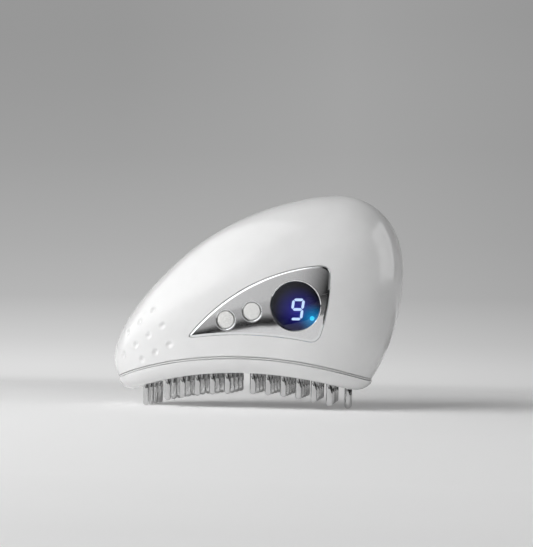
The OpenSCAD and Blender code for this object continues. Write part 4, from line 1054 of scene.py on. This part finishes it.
# The floor's colour is painted shade: darker towards the camera, palest near the massager.
floor_painted_shade = gradient(tree, "Y", [(-400, "#e4e4e4"), (-300, "#ebebeb"), (-240, "#f5f5f5"), (-127, "#fcfcfc")])
matt = add(tree, "ShaderNodeBsdfDiffuse", Color=floor_painted_shade)
ray = add(tree, "ShaderNodeLightPath").outputs
higher = {"operation": "MAXIMUM"}
seen = add(tree, "ShaderNodeMath", higher, i0=ray["Is Camera Ray"], i1=ray["Is Glossy Ray"])
seen = add(tree, "ShaderNodeMath", higher, i0=seen.outputs[0], i1=ray["Is Transmission Ray"])
glow = add(tree, "ShaderNodeMapRange", i0=seen.outputs[0], i3=WALL_LIGHT, i4=1.0)
pale = add(tree, "ShaderNodeEmission", Color=linear("#ffffff"), Strength=FLOOR_LIFT)
near = add(tree, "ShaderNodeAddShader", i0=matt.outputs[0], i1=pale.outputs[0])
# The wall's colour is painted shade: darker upwards, darker towards the right low down, and darker to both
# sides high up.
wall_painted_shade_up = gradient(tree, "Z", [(0, "#e0e0e0"), (10, "#dcdcdc"), (31, "#cecece"), (73, "#b8b8b8"),
                              (128, "#b0b0b0"), (225, "#a6a6a6"), (356, "#a0a0a0")])
wall_painted_shade_low = gradient(tree, "X", [(-240, "#ffffff"), (0, "#f6f6f6"), (255, "#dfdfdf")])
wall_painted_shade_high = gradient(tree, "X", [(-240, "#f2f2f2"), (0, "#ffffff"), (255, "#ededed")])
height = gradient(tree, "Z", [(20, "#000000"), (300, "#ffffff")])
across = add(tree, "ShaderNodeMix", RGBA, i0=height, i6=wall_painted_shade_low, i7=wall_painted_shade_high).outputs[2]
times = {**RGBA, "blend_type": "MULTIPLY"}
shade = add(tree, "ShaderNodeMix", times, i0=1.0, i6=wall_painted_shade_up, i7=across)
tall = add(tree, "ShaderNodeEmission", Color=shade.outputs[2], Strength=glow.outputs[0])
smooth = {"interpolation_type": "SMOOTHSTEP"}
share = add(tree, "ShaderNodeMapRange", smooth, i0=object_xyz(tree)["Y"],
            i1=WALL_FROM * MM, i2=WALL_FULL * MM)
mixed = add(tree, "ShaderNodeMixShader", i0=share.outputs[0], i1=near.outputs[0], i2=tall.outputs[0])
add(tree, "ShaderNodeOutputMaterial", Surface=mixed.outputs[0])
floor = make_object("floor_and_backdrop", stage_points, stage_faces, paper)
floor.data.flip_normals()
print(floor.name, "in", paper.name)

# %% Dark sheets for reflections
DARK_FRONT, DARK_RIGHT, DARK_MIDDLE, SHEET_Z = -214, 110, 60, 0.3


def dark_sheet(name, corners, axis, stops):
    """A flat sheet just above the floor that only reflections see, shaded along an axis."""
    room, tree = empty_material(name + "_unlit")
    glowing = add(tree, "ShaderNodeEmission", Color=gradient(tree, axis, stops))
    add(tree, "ShaderNodeOutputMaterial", Surface=glowing.outputs[0])
    (x0, y0), (x1, y1) = corners
    points = [(x, y, SHEET_Z) for x, y in ((x0, y0), (x1, y0), (x1, y1), (x0, y1))]
    sheet = make_object(name, points, [(0, 1, 2, 3)], room)
    sheet.visible_camera = sheet.visible_diffuse = False
    sheet.visible_shadow = sheet.visible_transmission = False
    print(name, "from", corners[0], "to", corners[1], "mm")


dark_sheet("room_in_front", ((-900, -1400), (DARK_MIDDLE, DARK_FRONT)), "Y",
           [(-900, "#bcbcbc"), (-350, "#b0b0b0"), (-262, "#242424"), (DARK_FRONT, "#060606")])
dark_sheet("room_front_right", ((DARK_MIDDLE, -1400), (DARK_RIGHT, DARK_FRONT)), "X",
           [(DARK_MIDDLE, "#7c7c7c"), (100, "#606060"), (DARK_RIGHT, "#585858")])
dark_sheet("room_at_right", ((DARK_RIGHT, -1400), (1500, 700)), "X",
           [(DARK_RIGHT, "#505050"), (230, "#303030"), (600, "#202020")])


# %% Lamps
def softbox(name, way, distance, edge, width, tall, radiance):
    """A flat lamp seen in the direction way, with its width along edge, in mm. A radiance of 1
    looks white."""
    light = bpy.data.lights.new(name, "AREA")
    light.shape, light.size, light.size_y = "RECTANGLE", width * MM, tall * MM
    light.energy = math.pi * radiance * width * tall * MM * MM
    obj = bpy.data.objects.new(name, light)
    bpy.context.collection.objects.link(obj)
    z = Vector(way).normalized()
    x = (Vector(edge) - z * z.dot(Vector(edge))).normalized()
    obj.matrix_world = Matrix((x, z.cross(x), z)).transposed().to_4x4()
    obj.location = (z * distance + Vector((0, 0, 40))) * MM
    obj.visible_camera = False
    return obj


key = softbox("key_upper_left", (-0.65, -0.545, 0.53), 850, (-0.643, 0.766, 0), 800, 290, 8.1)
left = softbox("window_left", (-0.72, -0.13, 0.655), 650, (-0.40, 0.88, -0.26), 910, 790, 1.0)
right = softbox("window_right", (0.90, 0.0, 0.44), 520, (0, 1, 0), 380, 440, 1.6)
fill = softbox("fill_low_right", (0.98, -0.1, 0.14), 500, (0.1, 0.98, 0), 300, 200, 0.9)
key.visible_glossy = fill.visible_glossy = False
left.visible_diffuse = right.visible_diffuse = False
print("lamps:", [light.name for light in bpy.data.lights])

# %% World
world = bpy.data.worlds.new("studio_air")
bpy.context.scene.world = world
world.use_nodes = True
tree = world.node_tree
tree.nodes.clear()
ray = add(tree, "ShaderNodeLightPath").outputs
way = add(tree, "ShaderNodeSeparateXYZ", i0=add(tree, "ShaderNodeTexCoord").outputs["Generated"])
side = add(tree, "ShaderNodeMapRange", i0=way.outputs["X"], i1=-1.0, i2=1.0)
mirror = colour_ramp(tree, side.outputs[0], [
    (0, "#f0f0f0"), (0.45, "#c6c6c6"), (0.55, "#6c6c6c"), (0.585, "#181818"),
    (0.72, "#1c1c1c"), (0.86, "#606060"), (1, "#a8a8a8")])
colour = add(tree, "ShaderNodeMix", RGBA, i0=ray["Is Glossy Ray"], i6=linear("#7a7a7a"), i7=mirror)
air = add(tree, "ShaderNodeBackground", Color=colour.outputs[2], Strength=1.0)
add(tree, "ShaderNodeOutputWorld", Surface=air.outputs[0])
print(world.name, "set")

# %% [markdown]
# ## Camera
# A camera fitted to the photograph stands 440 mm away, a little to the right of the panel
# and just above the pins, tipped by 0.9 degrees. A lens of 67 mm on a 36 mm sensor gives
# the same perspective. The shift and scale carry the last small fit of the body over to
# the camera, because the CAD solids themselves are never moved.

# %% Camera
CAM_TURN, CAM_DISTANCE, CAM_HEIGHT, CAM_ROLL, LENS_MM = 8.7, 440.0, 25.1, 0.9, 67.1
FOCAL_POINTS, MIDDLE = 1019.5, (266.5, 273.5)
HORIZON, OBJECT_COLUMN = 347.7, 257.3
BODY_SHIFT, BODY_SCALE = Vector((0.4, 0, 0)), 1.0048
turn = math.radians(CAM_TURN)
place = Vector((CAM_DISTANCE * math.sin(turn), -CAM_DISTANCE * math.cos(turn), CAM_HEIGHT))
across = Vector((math.cos(turn), math.sin(turn), 0))
aim = across * ((MIDDLE[0] - OBJECT_COLUMN) * CAM_DISTANCE / FOCAL_POINTS)
aim.z = CAM_HEIGHT + (HORIZON - MIDDLE[1]) * CAM_DISTANCE / FOCAL_POINTS
place, aim = (place - BODY_SHIFT) * BODY_SCALE, (aim - BODY_SHIFT) * BODY_SCALE
forward = (aim - place).normalized()
right = forward.cross(Vector((0, 0, 1))).normalized()
up = right.cross(forward)
roll = math.radians(CAM_ROLL)
right, up = right * math.cos(roll) + up * math.sin(roll), up * math.cos(roll) - right * math.sin(roll)
camera = bpy.data.objects.new("camera", bpy.data.cameras.new("camera"))
bpy.context.collection.objects.link(camera)
camera.data.lens, camera.data.sensor_width, camera.data.clip_start = LENS_MM, 36.0, 0.01
camera.matrix_world = Matrix((right, up, -forward)).transposed().to_4x4()
camera.location = place * MM
bpy.context.scene.camera = camera
bpy.context.scene.view_settings.view_transform = "Standard"
print("camera at", [round(v) for v in place], "mm")
